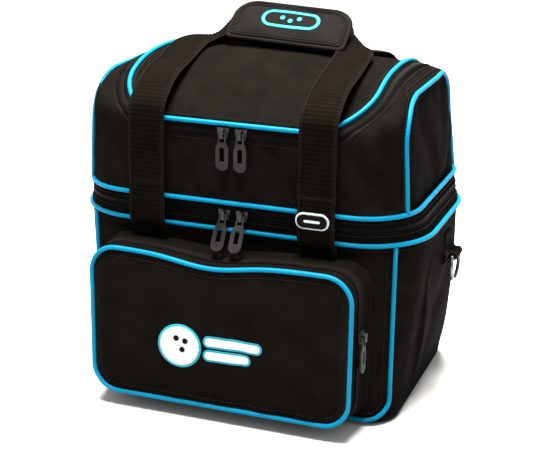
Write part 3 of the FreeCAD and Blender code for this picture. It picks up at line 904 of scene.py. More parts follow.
def lid_strip(name, inner, outer, body, ridges):
    """Strip of zip tape or hood beside the lid's edge, with soft ridges along it."""
    across = np.linspace(inner, outer, 9)
    rows = [slid(EDGE, EDGE_NORMAL, distance) for distance in across]
    points, normal = (np.stack(part, axis=1) for part in zip(*rows))
    lift = ridges_at((across - inner) / (outer - inner), ridges)
    return panel(name, points + lift[None, :, None] * normal, body, (), TAPE, 2.2)


def lid():
    corners = (LID_CORNER, LID_CORNER, 0, 0)
    flat = patch(-LID_HALF_WIDTH, LID_HALF_WIDTH, LID_FRONT, LID_REAR, corners, 64, 54)
    points, normal = on_upper(dome_guess(flat))
    x, y = flat[..., 0], flat[..., 1]
    edge = np.minimum(LID_HALF_WIDTH - np.abs(x), y - LID_FRONT)
    lift = crown(edge, 2.6, 45.0) * np.clip((LID_REAR - y) / 50, 0, 1)
    lift += crown(edge, 1.0, 20.0) * (0.9 * ripple(points, 1.9)
                                      + crease(points, (40, -116, 300), (66, -40, 332), 10, -1.6)
                                      + crease(points, (-30, -118, 298), (-20, -60, 326), 12, -1.2))
    lift += pucker(edge, x + y)
    points = points + lift[..., None] * normal
    panel("lid_cloth", points, "lid", ("lid_panel",), CLOTH, 2.8, settling=(1.2, 0.012, 3.0))
    cord("lid_cord", EDGE + EDGE_NORMAL * CORD * 0.8, UP, "lid", ("lid_piping",))
    lid_strip("lid_zip_tape", 1.6, 7.4, "lid", ((0.45, 0.3, 1.7),))
    lid_strip("opening_zip_hood", 8.6, 14.6, "upper_compartment", ((0.5, 0.32, 1.9),))
    line, lifts = slid(EDGE, EDGE_NORMAL, 8.0)
    line = line + lifts * 0.4
    zip_line("lid_coil", line, lifts, -1, "lid", ("lid_zip_chain",))
    zip_line("opening_coil", line, lifts, 1, "upper_compartment", ("lid_opening_zip_chain",))
    line, lifts = slid(EDGE, EDGE_NORMAL, -5.5)
    sewn("lid_edge_stitches", line + lifts * 0.7, lifts, "lid")
    line, lifts = slid(EDGE, EDGE_NORMAL, 16.6)
    sewn("opening_hem_stitches", line + lifts * 0.5, lifts, "upper_compartment")


def side_outline(inset=0.0):
    """Edge of the right upper side panel as (y, z): up the front, over the top, down the rear."""
    front, rear, top = SIDE_FRONT + inset, SIDE_REAR - inset, SHOULDER_Z - inset
    ahead, behind = SIDE_FRONT_RADIUS - inset, SIDE_REAR_RADIUS - inset
    foot = UPPER_Z + 1.5
    corners = [[(front, foot)], arc((front + ahead, top - ahead), ahead, 180, 90, 12),
               arc((rear - behind, top - behind), behind, 90, 0, 10), [(rear, foot)]]
    return resampled(np.vstack(corners), PATH_STEP)


def on_side(flat, sign):
    """Points of the upper side surface over (y, z), on the right for sign 1."""
    guess = np.concatenate([sign * shoulder_x(flat[..., 1:2]), flat], axis=-1)
    return on_upper(guess)


def side_panels():
    body = "upper_compartment"
    for side, sign in (("left", -1), ("right", 1)):
        name = "upper_" + side
        flat = patch(SIDE_FRONT, SIDE_REAR, UPPER_Z + 0.6, SHOULDER_Z,
                     (0, 0, SIDE_REAR_RADIUS, SIDE_FRONT_RADIUS), 46, 34)
        points, normal = on_side(flat, sign)
        y, z = flat[..., 0], flat[..., 1]
        edge = inside_by(y, z, SIDE_FRONT, SIDE_REAR, UPPER_Z, SHOULDER_Z)
        folds = (crease(points, (sign * 160, -70, 300), (sign * 164, 20, 225), 12, -2.2)
                 + crease(points, (sign * 158, 60, 300), (sign * 165, 10, 240), 12, -1.6))
        lift = crown(edge, 1.0, 30.0) + crown(edge, 1.0, 16.0) * (folds + 0.8 * ripple(points, 2.4 + sign))
        lift += pucker(edge, y + z)
        panel(name + "_side_cloth", points + lift[..., None] * normal, body, (name + "_panel",),
              CLOTH, 2.8, settling=(1.0, 0.015, 4.0))
        line, lifts = on_side(side_outline(), sign)
        nodes = ("upper_side_piping",) if side == "left" else ()
        cord(name + "_side_cord", line + lifts * CORD * 0.8, (1, 0, 0), body, nodes)
        for row, inset in (("inner", 5.5), ("outer", -5.5)):
            line, lifts = on_side(side_outline(inset), sign)
            sewn(name + "_" + row + "_stitches", line + lifts * 0.5, lifts, body)


def along_knots(path, knots, values, places):
    """Points of a path where chosen fractions of its length meet chosen values."""
    total = run_lengths(path)[-1]
    return at_lengths(path, np.interp(places, values, np.asarray(knots) * total))


def fold(points, start, end, width, depth):
    """Crease that follows the upper compartment's surface between two places."""
    t = np.linspace(0, 1, 41)[:, None]
    path, _ = on_upper(np.array(start) * (1 - t) + np.array(end) * t)
    away = np.linalg.norm(points[..., None, :] - path, axis=-1)
    along = t[np.argmin(away, axis=-1), 0]
    return crease_depth(np.min(away, axis=-1), along, width, depth)


# Folds of the wall under the lid: both ends, width and depth
STRIP_FOLDS = (
    ((141, -108, 288), (155, -99, 232), 6.5, -5.0), ((128, -113, 284), (146, -105, 232), 6.0, 2.6),
    ((116, -117, 270), (138, -110, 218), 7.0, -5.0), ((103, -121, 262), (124, -117, 222), 7.0, 2.0),
    ((-130, -113, 270), (-112, -120, 220), 8.0, -3.0), ((-146, -104, 284), (-138, -108, 226), 7.0, -3.0),
    ((-30, -123, 262), (-52, -122, 222), 8.0, -1.6), ((34, -123, 268), (52, -122, 226), 8.0, -1.8))
ABOVE_CORD = 0.8


def front_strip():
    """Wall under the lid's zip: over both sides, round the corners and across the front."""
    inner, _ = slid(EDGE, EDGE_NORMAL, 13.2)
    inner = inner[:len(inner) // 2 + 1]
    side = side_outline()
    side = side[side[:, 0] < LID_REAR - 0.01][::-1]
    side = side[(side[:, 1] > UPPER_Z + 1) | (side[:, 0] < 0)]
    outer_side, _ = on_side(side, -1)
    ring = body_ring(UPPER_Z)
    front_ring = ring[(ring[:, 1] < outer_side[-1, 1]) & (ring[:, 0] <= 0.01)]
    front_ring[:, 2] += ABOVE_CORD
    outer = np.vstack([outer_side, front_ring[np.argsort(front_ring[:, 0])]])
    u = np.linspace(0, 1, 84)
    # The lid's corner lies against the side piping's front and the band's corner.
    first = along_knots(inner, (0, 0.49, 0.77, 1.0), (0, 0.42, 0.62, 1.0), u)
    last = along_knots(outer, (0, 0.41, 0.76, 1.0), (0, 0.42, 0.62, 1.0), u)
    v = eased(22, 0.6, 0.6)[None, :, None]
    half, _ = on_upper(first[:, None] * (1 - v) + last[:, None] * v, rounds=9)
    points, normal = on_upper(np.vstack([half, mirrored(half)[1:]]), rounds=3)
    rows = np.linspace(0, 1, points.shape[1])
    seam = np.minimum(rows, 1 - rows)[None, :] * 60.0
    folds = sum(fold(points, *line) for line in STRIP_FOLDS)
    lift = crown(seam, 1.2, 22.0) + crown(seam, 1.0, 12.0) * (folds + 0.9 * ripple(points, 3.1))
    nodes = ("upper_front_wall", "upper_left_gusset", "upper_right_gusset")
    panel("upper_front_cloth", points + lift[..., None] * normal, "upper_compartment", nodes, CLOTH, 2.6,
          settling=(0.3, 0.015, 1.2))


def back_wall():
    """Rear wall of the upper compartment, from the lid's hinge down to the band."""
    edge_z = float(top_z(LID_REAR))
    behind_lid = LID_REAR + 0.4
    outline = side_outline()
    corner = outline[(outline[:, 0] > LID_REAR) & (outline[:, 1] > SHOULDER_Z - SIDE_REAR_RADIUS)][::-1]
    left = [(-shoulder_x(z), y + 0.4, z) for y, z in corner]
    left += [(-shoulder_x(z), behind_lid, z) for z in np.linspace(corner[-1, 1] + 2, edge_z - 4, 6)]
    reach = LID_HALF_WIDTH + 6
    middle = [(x, behind_lid, edge_z) for x in np.linspace(-reach, reach, 48)]
    top = np.vstack([left, middle, mirrored(np.array(left))])
    ring = body_ring(UPPER_Z)
    rear = ring[ring[:, 1] > SIDE_REAR - 5]
    rear = rear[np.argsort(rear[:, 0])]
    rear[:, 2] += ABOVE_CORD
    u = np.linspace(0, 1, 92)
    first = along_knots(top, (0, 0.18, 0.82, 1), (0, 0.16, 0.84, 1), u)
    last = along_knots(rear, (0, 0.17, 0.83, 1), (0, 0.16, 0.84, 1), u)
    control = joined(last[:, 0], last[:, 1], first[:, 2] - 4)
    depth = eased(36, 0.4, 0.6)
    v = depth[None, :, None]
    points = (1 - v) ** 2 * first[:, None] + 2 * v * (1 - v) * control[:, None] + v ** 2 * last[:, None]
    points, normal = on_upper(points, rounds=9)
    seam = np.minimum(depth, 1 - depth)[None, :] * 150
    folds = 1.1 * ripple(points, 4.2) + crease(points, (60, 119, 300), (10, 121, 225), 14, -2.0)
    lift = crown(seam, 3.0, 40.0) + crown(seam, 1.0, 18.0) * folds
    panel("upper_back_cloth", points + lift[..., None] * normal, "upper_compartment", ("upper_back_wall",),
          CLOTH, 2.8, settling=(0.8, 0.012, 4.0))


def hinges():
    """Cloth over the places where the lid and the whole top swing back."""
    reach = LID_HALF_WIDTH - 3
    flat = sheet_grid(np.linspace(-reach, reach, 40), np.linspace(66, 96, 13))
    points, normal = on_upper(dome_guess(flat))
    piece = cloth_piece("lid_hinge_cloth", points + normal * 1.6, BAG_CENTRE, 1.4)
    finish_piece(piece, None, (), CLOTH, "body_fabric")
    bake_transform(piece)
    low, high = node_box("rear_hinge_strip")
    top = UPPER_Z - 2
    flat = sheet_grid(np.linspace(low[0], high[0], 44), np.linspace(low[2], top, 13))
    depth = np.interp(flat[..., 1], [low[2], 199.5, top], [119.4, 122.4, 123.2])
    piece = cloth_piece("flip_hinge_cloth", joined(flat[..., 0], depth, flat[..., 1]), BAG_CENTRE, 1.4)
    finish_piece(piece, None, ("rear_hinge_strip",), BINDING, "body_fabric")
    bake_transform(piece)


# ---- Pocket ---------------------------------------------------------------------------------

POCKET_REAR = -117.0
SAG_X, SAG_HALF, SAG_DEPTH = -8.0, 45.0, 8.5
FORWARD = np.array([0.0, -1.0, 0.0])


def sagged(x, z, high, depth):
    """Heights lowered by the sag of the top edge, which fades out 40 mm below it."""
    near_top = np.clip((z - high + 40) / 40, 0, 1) ** 2
    return z - depth * bell(x - SAG_X, SAG_HALF) * near_top


def pocket_ring(y, outset=0.0):
    """The pocket's outline at depth y; its top edge sags a little in the middle."""
    spread = (y - POCKET_FRONT) / (POCKET_REAR - POCKET_FRONT)
    half = POCKET_HALF + 6 * spread + outset
    low, high = POCKET_BOTTOM - 8 * spread - outset, POCKET_TOP + 3 * spread + outset
    flat = ring_points(half, (high - low) / 2, POCKET_CORNER + outset, (64, 10, 30))
    x, z = flat[:, 0], flat[:, 1] + (low + high) / 2
    return joined(x, float(y), sagged(x, z, high, SAG_DEPTH * (1 - 0.35 * spread)))


def pocket_face_y(x, z):
    """Depth of the pocket's padded front at x and z."""
    edge = inside_by(x, z, -POCKET_HALF, POCKET_HALF, POCKET_BOTTOM, POCKET_TOP - 4)
    fullness = crown(edge, 5.0, 30.0)
    soft = 0.8 * np.sin(x / 27 + 0.8) * np.cos(z / 23) + 0.6 * np.sin((x + z) / 21)
    return POCKET_FRONT + 1.0 - fullness - soft * np.clip(edge / 25, 0, 1)


def pocket():
    flat = patch(-POCKET_HALF, POCKET_HALF, POCKET_BOTTOM, POCKET_TOP, (POCKET_CORNER,) * 4, 70, 44)
    x = flat[..., 0]
    z = sagged(x, flat[..., 1], POCKET_TOP, SAG_DEPTH)
    edge = inside_by(x, z, -POCKET_HALF, POCKET_HALF, POCKET_BOTTOM, POCKET_TOP)
    y = pocket_face_y(x, z) - pucker(edge, x + z, 0.4)
    cloth = panel("pocket_front_cloth", joined(x, y, z), "pocket_flap", ("pocket_front",), CLOTH, 3.0,
                  centre=(0, -100, POCKET_MIDDLE), settling=(1.0, 0.010, 2.5))
    ring = resampled(pocket_ring(POCKET_FRONT + 0.6, CORD * 0.5), PATH_STEP, True)
    cord("pocket_cord", ring, FORWARD, "pocket_flap", ("pocket_piping",), closed=True)
    line = resampled(pocket_ring(POCKET_FRONT, -7.0), PATH_STEP, True)
    line = laid_on(cloth, line[None, :, ::2], 0.1)[0]
    sewn("pocket_stitches", line, np.broadcast_to(FORWARD, line.shape), "pocket_flap", True)
    pocket_print(cloth)


def pocket_wall(name, front, rear, body, nodes, bulge):
    """Wall round the pocket between two depths, bulging a little between its seams."""
    depths = np.linspace(front, rear, 11)
    swell = bulge * np.sin(math.pi * np.linspace(0, 1, 11))
    points = np.stack([pocket_ring(y, out) for y, out in zip(depths, swell)], axis=1)
    phase = points[..., 0] / 17 + points[..., 2] / 13
    points[..., 0] += 0.4 * np.sin(phase) * swell[None, :] / bulge * np.sign(points[..., 0])
    panel(name, points, body, nodes, CLOTH, 2.2, centre=(0, -140, POCKET_MIDDLE), wrap=True)


def pocket_sides():
    """Both walls of the pocket and the zip between them."""
    pocket_wall("pocket_flap_wall_cloth", POCKET_FRONT + 1.5, POCKET_SPLIT - 4.2, "pocket_flap", (), 1.4)
    pocket_wall("pocket_rear_wall_cloth", POCKET_SPLIT + 0.4, POCKET_REAR + 5, "lower_body",
                ("pocket_gusset",), 1.2)
    line = resampled(pocket_ring(POCKET_SPLIT - 1.8, 0.2), PATH_STEP, True)
    x, height = line[:, 0], line[:, 2] - POCKET_MIDDLE
    lifts = joined(x, 0.0, height * np.where(np.abs(height) > 60, 3.0, 0.2))
    zip_line("pocket_coil_front", line, lifts, 1, "pocket_flap", (), True)
    zip_line("pocket_coil_rear", line, lifts, -1, "lower_body", ("pocket_zip_chain",), True)


# ---- Printed marks --------------------------------------------------------------------------


def laid_on(cloth, flat, lift):
    """Points over (x, z) laid on the finished front of a piece of cloth, lift above it."""
    tree = BVHTree.FromObject(cloth, bpy.context.evaluated_depsgraph_get())
    points = np.empty(flat.shape[:2] + (3,))
    for place in np.ndindex(flat.shape[:2]):
        x, z = flat[place]
        hit = tree.ray_cast(Vector((x * MM, -1.0, z * MM)), Vector((0, 1, 0)))[0]
        points[place] = (x, hit.y / MM - lift, z)
    return points


# The material of each print with the slot that it takes
BLUE_INK = (PRINT_CYAN, "emblem_blue")
WHITE_INK = (PRINT_WHITE, "emblem_white")
BARE = (CLOTH, "body_fabric")


def mark(name, points, body, nodes, ink, centre, thick=0.5):
    piece = cloth_piece(name, points, centre, thick, levels=0)
    return finish_piece(piece, body, nodes, *ink)


def disc_grid(centre, radius):
    """Polar grid of a disc, with a hair's breadth open at its middle."""
    turn = np.linspace(0, 2 * math.pi, 49)[:, None]
    reach = np.linspace(0.02, 1, 8) * radius
    return joined(centre[0] + np.cos(turn) * reach, centre[1] + np.sin(turn) * reach)


def pocket_print(cloth):
    """A ball with three finger holes and two speed bars, white with a cyan outline."""
    ball = np.array([-36.0, 78.0])
    marks = [("ball_outline", disc_grid(ball, 22.2), 0.5, BLUE_INK),
             ("ball", disc_grid(ball, 20.0), 0.8, WHITE_INK)]
    for number, hole in enumerate(((-3, 8), (6, 6), (3, -3))):
        marks.append(("hole_%d" % number, disc_grid(ball + hole, 2.8), 1.1, BARE))
    bars = ((-10.0, 46.0, 82.0, 90.0), (-10.0, 34.0, 68.0, 76.0))
    for number, (left, right, low, high) in enumerate(bars):
        end = (high - low) / 2 - 0.2
        wide, narrow = (patch(left - out, right + out, low - out, high + out, (end + out,) * 4, 40, 14)
                        for out in (2.0, 0.0))
        marks.append(("bar_outline_%d" % number, wide, 0.5, BLUE_INK))
        marks.append(("bar_%d" % number, narrow, 0.8, WHITE_INK))
    nodes = ("pocket_emblem",)
    for name, flat, lift, ink in marks:
        mark("print_" + name, laid_on(cloth, flat, lift), "pocket_flap", nodes, ink, (0, 0, POCKET_MIDDLE))
        nodes = ()


# ---- Straps and grip ------------------------------------------------------------------------


def grip_point(along, off):
    """Point (y, z) of the sloping grip, along its slope and off its middle plane."""
    cosine, sine = math.cos(GRIP_SLOPE), math.sin(GRIP_SLOPE)
    return (GRIP_CENTRE[0] + along * cosine - off * sine, GRIP_CENTRE[1] + along * sine + off * cosine)


GRIP_SHIFT = 6.0
GRIP_SKEW = 0.06
STRAP_LOW = 170.0
STRAP_JOIN = 225.0
STRAP_TURN = 40.0
# Side views of the straps as (y, z), from the sewn foot to the grip
FRONT_STRAP = np.array([
    (-120.5, STRAP_LOW), (-122.5, 177), (-128.5, 182), (FRONT_WEB_Y, 189.5), (FRONT_WEB_Y, STRAP_JOIN),
    (FRONT_WEB_Y, 294), (-128.5, 304), (-116, 315), (-99, 325), (-78, 332.5), (-52, 340), (-27, 345.5),
    grip_point(-19, 2.45), grip_point(23, 2.45)])
BACK_STRAP = np.array([
    (120.5, STRAP_LOW), (122.5, 177), (127.5, 182), (BACK_WEB_Y, 189.5), (BACK_WEB_Y, STRAP_JOIN),
    (BACK_WEB_Y, 275), (129, 290), (120, 304), (100, 314), (75, 322), (54, 331), (38, 350),
    grip_point(19, -2.45), grip_point(-23, -2.45)])
# Beside the grip the straps sink towards the lid.
SINK_FROM, SINK_TO = 50.0, 84.0
LABEL_CENTRE = (WEB_X, 0, 207)


def rounded(path, rounds=3):
    """Cut a path's corners until it bends softly; its ends stay."""
    for _ in range(rounds):
        earlier = path[:-1] * 0.75 + path[1:] * 0.25
        later = path[:-1] * 0.25 + path[1:] * 0.75
        middle = np.stack([earlier, later], axis=1).reshape(-1, path.shape[1])
        path = np.vstack([path[:1], middle, path[-1:]])
    return path


class Profile:
    """Side view of a strap: places and directions by distance along it."""

    def __init__(self, corners):
        self.path = resampled(rounded(corners), 1.0)
        self.length = run_lengths(self.path)
        self.forward = tangents(self.path, False)

    def at(self, distance):
        place, forward = (joined(*(np.interp(distance, self.length, values[:, k]) for k in (0, 1)))
                          for values in (self.path, self.forward))
        return place, forward

    def climbed(self, z):
        """Distance at which the strap's leg reaches a height."""
        heights = self.path[:len(self.path) // 2, 1]
        return self.length[np.argmin(np.abs(heights - z))]


def strap_sheet(profile, flat, sign, waviness):
    """Flat (x, distance) points wrapped onto the strap's side view, on its outer face."""
    x, distance = flat[..., 0], flat[..., 1]
    place, forward = profile.at(distance)
    y, z = place[..., 0], place[..., 1]
    beside = soft_step(np.clip((np.abs(x - GRIP_X) - SINK_FROM) / (SINK_TO - SINK_FROM), 0, 1))
    beside = beside * soft_step(np.clip((98.0 - np.abs(y)) / 50.0, 0, 1))
    resting = top_z(y) + (8.0 if sign < 0 else 4.2)
    z = z - np.maximum(z - resting, 0.0) * beside
    across = np.linspace(-1, 1, flat.shape[1])[None, :]
    rib = 0.16 * np.cos(across * math.pi * 9) - 0.5 * across ** 8
    out = WEB_THICK / 2 + rib + waviness * np.sin(distance / 23 + x / 40)
    return joined(x, y + sign * forward[..., 1] * out, z - sign * forward[..., 0] * out)


def ribbon_flat(centreline, half_width):
    """Grid across a flat centreline, half_width to either side."""
    forward = tangents(centreline, False)
    side = joined(-forward[:, 1], forward[:, 0])
    across = np.linspace(-half_width, half_width, 37)
    return centreline[:, None] + side[:, None] * across[None, :, None]


def strap_edges(name, profile, flat, points, sign):
    """Stitch rows along both edges of a strap, bending like the strap."""
    for label, column in (("left", 3), ("right", flat.shape[1] - 4)):
        line = points[:, column]
        _, forward = profile.at(flat[:, column, 1])
        lifts = joined(0.0, forward[:, 1] * sign, -forward[:, 0] * sign)
        piece = stitches(name + "_" + label + "_stitches", line + lifts * 0.2, lifts, 3.6)
        finish_piece(piece, None, (), THREAD, "webbing")
        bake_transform(piece)


def lower_straps(side, profile, sign, nodes):
    """Straight strap legs, sewn down low on the body and free above the band."""
    stop = profile.climbed(STRAP_JOIN + 6.0)
    y = abs(profile.at(stop)[0][0]) * sign * MM
    for leg, x in (("left", -WEB_X), ("right", WEB_X)):
        centreline = joined(float(x), np.linspace(0, stop, 60))
        flat = ribbon_flat(centreline, WEB_WIDTH / 2 - 0.15)
        points = strap_sheet(profile, flat, sign, 0.0)
        under = points - np.array([0.0, sign * 0.15, 0.0])
        piece = cloth_piece(side + "_" + leg + "_strap_foot", under, (x, 0, 200), WEB_THICK)
        finish_piece(piece, None, nodes, WEBBING, "webbing")
        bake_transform(piece)
        strap_edges(side + "_" + leg + "_foot", profile, flat, points, sign)
        nodes = ()


def upper_strap(side, profile, sign, nodes):
    """One strap from leg to leg: up, over the lid and through the grip."""
    start = profile.climbed(STRAP_JOIN)
    grip_at = profile.length[-1] - 23.0
    turn_at = grip_at - STRAP_TURN
    turn_x = WEB_X - STRAP_TURN
    leg = joined(WEB_X, np.linspace(start, turn_at, 90, endpoint=False))
    run = joined(np.linspace(turn_x, 0, 12, endpoint=False)[1:], grip_at)
    right = np.vstack([leg, arc((turn_x, turn_at), STRAP_TURN, 0, 90, 22), run])
    flat = ribbon_flat(np.vstack([right, [(0, grip_at)], mirrored(right)]), WEB_WIDTH / 2)
    points = strap_sheet(profile, flat, sign, 0.25)
    piece = cloth_piece(side + "_strap", points, (0, 0, 250), WEB_THICK)
    finish_piece(piece, None, nodes, WEBBING, "webbing")
    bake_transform(piece)
    strap_edges(side + "_strap", profile, flat, points, sign)


def strap_label():
    """White-rimmed capsule with a plain bar on the right front strap."""
    face = FRONT_WEB_Y - WEB_THICK / 2
    left, right, low, high = WEB_X - 19.5, WEB_X + 13.5, 199.5, 215.5
    rim = 1.6
    flat = patch(left, right, low, high, (7.8,) * 4, 40, 16)
    x, z = flat[..., 0], flat[..., 1]
    edge = inside_by(x, z, left, right, low, high)
    points = joined(x, face - 0.5 - crown(edge, 0.9, 3.0), z)
    mark("strap_label_patch", points, "front_fold", ("strap_label",), WHITE_INK, LABEL_CENTRE, 1.0)
    field = patch(left + rim, right - rim, low + rim, high - rim, (6.3,) * 4, 36, 14)
    bar = patch(left + 8.5, right - 8.5, 206.3, 208.7, (1.1,) * 4, 20, 6)
    for label, flat, rise, material in (("field", field, 1.75, BINDING), ("bar", bar, 2.0, PRINT_WHITE)):
        mark("strap_label_" + label, joined(flat[..., 0], face - rise, flat[..., 1]), "front_fold", (),
             (material, "webbing"), LABEL_CENTRE, 0.3)


def straps():
    front, back = Profile(FRONT_STRAP), Profile(BACK_STRAP)
    lower_straps("front", front, -1, ("front_strap_tails", "front_strap_runs"))
    lower_straps("back", back, 1, ("back_strap_tails", "back_strap_runs"))
    upper_strap("front", front, -1, ("front_webbing",))
    upper_strap("back", back, 1, ("back_webbing",))
    strap_label()


def grip_low(face):
    """Low edge of a pad: the front one hangs a little lower."""
    return -GRIP_HALF_DEPTH - (6.0 if face > 0 else 0.0)


def pad_off(x, along, face):
    """How far the padded grip's face stands off the middle plane."""
    left, right = GRIP_X - GRIP_HALF_LENGTH, GRIP_X + GRIP_HALF_LENGTH
    edge = inside_by(x, along, left, right, grip_low(face), GRIP_HALF_DEPTH)
    return face * (6.6 + crown(edge, 3.2, 10.0) + 0.3 * np.sin(x / 9.0 + along / 7.0))


def on_grip(flat, off):
    """Points on the grip from (x, along) and their height off its middle plane; it sits askew."""
    x, along = flat[..., 0] + GRIP_SHIFT, flat[..., 1] - GRIP_SKEW * (flat[..., 0] - GRIP_X)
    return joined(x, *grip_point(along, off))


def on_pad(flat, face, rise=0.0):
    """Points on a pad's face from (x, along)."""
    return on_grip(flat, pad_off(flat[..., 0], flat[..., 1], face) + rise)


def grip_outline(inset, face):
    """Closed outline of a pad: tight corners on the low edge, wide ones on the high edge."""
    half, depth, foot = GRIP_HALF_LENGTH - inset, GRIP_HALF_DEPTH - inset, grip_low(face) + inset
    low, high = max(4.0 - inset, 1.0), 22.0 - inset
    corners = ((-half + low, foot + low, low, 180), (half - low, foot + low, low, 270),
               (half - high, depth - high, high, 0), (-half + high, depth - high, high, 90))
    points = [arc((GRIP_X + x, y), radius, start, start + 90, 12) for x, y, radius, start in corners]
    return resampled(np.vstack(points), 2.5, True)


def grip_pad(side, face, body):
    """One padded half of the grip with its two rows of binding and its stitches."""
    name = "grip_" + side
    flat = patch(GRIP_X - GRIP_HALF_LENGTH, GRIP_X + GRIP_HALF_LENGTH, grip_low(face), GRIP_HALF_DEPTH,
                 (4, 4, 22, 22), 60, 30)
    pad = cloth_piece(name + "_pad_cloth", on_pad(flat, face), (GRIP_X, *GRIP_CENTRE), 3.0)
    finish_piece(pad, body, (name + "_pad",), GRIP_CLOTH, "grip_fabric")
    across = on_grip(np.zeros(2), face) - on_grip(np.zeros(2), 0.0)
    outer, inner, seam = (grip_outline(inset, face) for inset in (0.6, 4.2, 6.6))
    nodes = (name + "_binding",)
    rims = (("outer", on_grip(outer, face * 5.4), 2.3), ("inner", on_pad(inner, face), 1.1))
    for label, rim, radius in rims:
        piece = tube(name + "_" + label + "_binding", rim, across, radius, True)
        finish_piece(piece, body, nodes, BINDING, "grip_fabric")
        nodes = ()
    rim = on_pad(seam, face)
    sewn(name + "_stitches", rim, np.broadcast_to(across, rim.shape), body, True, 3.4)


def grip():
    grip_pad("front", 1, "front_handle")
    grip_pad("back", -1, "back_handle")
    under = (GRIP_X, GRIP_CENTRE[0], 0)
    flat = patch(GRIP_X - 50, GRIP_X + 50, -8, 8, (2,) * 4, 30, 10)
    strips = (("grip_hook_strip", 0.9, "front_handle"), ("grip_loop_strip", -0.1, "back_handle"))
    for node, off, body in strips:
        mark(node + "_nap", on_grip(flat, off), body, (node,), (NAP, "hook_and_loop"), under, 0.8)
    emblem()


def capsule_line(half, depth):
    """Closed capsule outline on the grip as (x, along)."""
    turn = np.linspace(0, 2 * math.pi, 81)
    straight = (half - depth) * np.clip(np.cos(turn) * 4, -1, 1)
    return joined(GRIP_X + straight + depth * np.cos(turn), depth * np.sin(turn))


def emblem():
    """Cyan capsule outline with three dots on the grip."""
    under = (GRIP_X, 40, 300)
    across = np.linspace(0, 1, 5)[None, :, None]
    ring = capsule_line(31.0, 12.0)[:, None] * (1 - across) + capsule_line(27.5, 8.5)[:, None] * across
    mark("grip_mark_ring", on_pad(ring, 1, 0.5), "front_handle", ("grip_emblem",), BLUE_INK, under)
    for number, (x, along) in enumerate(((-9.0, 1.5), (9.0, 1.5), (0.0, -2.0))):
        dot = disc_grid((GRIP_X + x, along), 2.6)
        mark("grip_mark_dot_%d" % number, on_pad(dot, 1, 0.5), "front_handle", (), BLUE_INK, under)


# ---- Inside and fittings ----------------------------------------------------------------------


def ball_cup():
    """Foam block in the bottom with a round seat for the ball."""
    half, depth, high = 147, 99, 37.0
    flat = patch(-half, half, -depth, depth, (30,) * 4, 70, 54)
    x, y = flat[..., 0], flat[..., 1]
    edge = inside_by(x, y, -half, half, -depth, depth)
    seat = 122 - np.sqrt(np.maximum(110 ** 2 - np.hypot(x, y) ** 2, 1.0))
    height = np.minimum(high, seat)
    height = height - (height - 9.0) * bell(edge, 4.0)
    piece = cloth_piece("ball_cup_cushion", joined(x, y, height), (0, 0, -200), 1.8)
    finish_piece(piece, "lower_body", ("ball_cup",), BINDING, "foam")


def divider():
    """Floor between the two compartments."""
    level = 206.0
    width, depth, radius = section_at(level) - 4.5
    flat = patch(-width, width, -depth, depth, (radius,) * 4, 60, 44)
    x, y = flat[..., 0], flat[..., 1]
    soft = 0.6 * np.sin(x / 25) * np.cos(y / 21)
    panel("divider_cloth", joined(x, y, level + soft), "upper_compartment", ("divider_floor",),
          BINDING, 2.2, centre=(0, 0, 0))


def ring_loop(side, sign):
    """Webbing sewn to the side, folded round the ring's straight bar."""
    above, below = [(178.6, 163.5), (178.9, 156), (179.6, 150)], [(179.6, 134.5), (177.9, 129.5)]
    around = arc((187.0, 141.0), 4.6, 125, -140, 22)
    path = resampled(rounded(np.vstack([above, around, below]), 2), 1.2)
    across = np.linspace(7.5, 32.5, 13)
    rib = 0.12 * np.cos(np.linspace(-1, 1, 13) * math.pi * 6)
    points = joined(sign * (path[:, None, 0] + rib), across, path[:, None, 1])
    piece = cloth_piece(side + "_ring_webbing", points, (sign * 150, 20, 141), 1.4)
    finish_piece(piece, "lower_body", (side + "_ring_loop",), WEBBING, "webbing")
    line = joined(sign * 179.4, np.linspace(9, 31, 8), 160.5)
    lifts = np.broadcast_to((float(sign), 0, 0), line.shape)
    sewn(side + "_ring_stitches", line, lifts, "lower_body", pitch=3.2)


def fittings():
    """Hard parts keep their own solids and take the material of their slot."""
    finishes = {"zip_metal": ENAMEL, "pull_plastic": PULL, "ring_metal": RING, "stiffener": BOARD}
    for part in frame["record"]["subparts"]:
        material = finishes.get(part.get("material_slot"))
        if material:
            slots = frame["nodes"][part["node"]].data.materials
            for index in range(len(slots)):
                slots[index] = material


# ---- Studio -----------------------------------------------------------------------------------


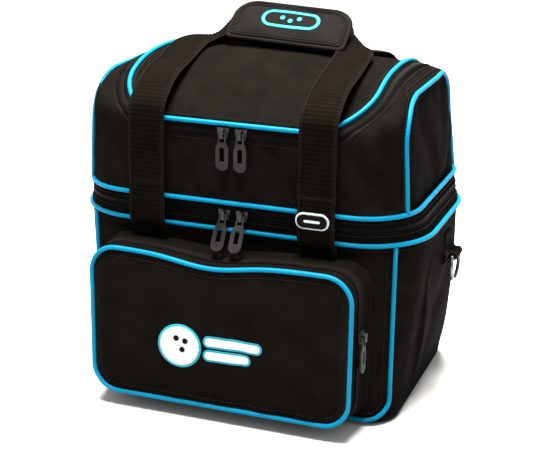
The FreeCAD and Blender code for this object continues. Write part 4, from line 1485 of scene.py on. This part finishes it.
def soft_light(name, place, target, size, power):
    """Warm round area light at a place, aimed at a target."""
    data = bpy.data.lights.new(name, "AREA")
    data.shape = "DISK"
    data.size = size
    data.energy = power
    data.color = (1.0, 0.95, 0.90)
    light = bpy.data.objects.new(name, data)
    bpy.context.scene.collection.objects.link(light)
    light.location = place
    aim = Vector(target) - Vector(place)
    light.rotation_euler = aim.to_track_quat("-Z", "Y").to_euler()


def floor():
    """Plain pale ground just under the bag."""
    reach = 3000.0
    corners = [(x * reach, y * reach, -1) for x, y in ((-1, -1), (1, -1), (1, 1), (-1, 1))]
    piece = mesh_object("floor", corners, [(0, 1, 2, 3)])
    material, tree, shader = node_material("pale_floor", (0.46, 0.46, 0.46), 0.8)
    grain = noise(tree, coordinates(tree, False), 40.0)
    tree.links.new(shaded(tree, grain, (0.45, 0.45, 0.45), (0.47, 0.47, 0.47)), shader.inputs["Base Color"])
    piece.data.materials.append(material)


def camera():
    """A long lens from the front right, looking down."""
    data = bpy.data.cameras.new("camera")
    data.sensor_width = 36.0
    data.lens = 90.46
    data.clip_end = 20.0
    viewer = bpy.data.objects.new("camera", data)
    bpy.context.scene.collection.objects.link(viewer)
    right, up = Vector((0.9383, 0.34552, 0.01407)), Vector((-0.12042, 0.28832, 0.94993))
    turn = Matrix((right, up, right.cross(up))).transposed().to_4x4()
    viewer.matrix_world = Matrix.Translation((0.45358, -1.26837, 0.59565)) @ turn
    bpy.context.scene.camera = viewer


def studio():
    world = bpy.data.worlds.new("studio")
    world.use_nodes = True
    background = world.node_tree.nodes["Background"]
    background.inputs["Color"].default_value = (1, 1, 1, 1)
    background.inputs["Strength"].default_value = 1.0
    bpy.context.scene.world = world
    bpy.context.scene.view_settings.view_transform = "Standard"
    soft_light("key", (0.1, -0.6, 2.3), (0, -0.05, 0.25), 0.8, 230.0)
    soft_light("top", (-0.1, 0.35, 2.2), (0, 0, 0.3), 0.9, 290.0)
    floor()
    camera()


lower_shell()
base()
lower_trim()
mid_zip()
lid()
side_panels()
front_strip()
back_wall()
hinges()
pocket()
pocket_sides()
straps()
grip()
ball_cup()
divider()
ring_loop("left", -1)
ring_loop("right", 1)
fittings()
studio()
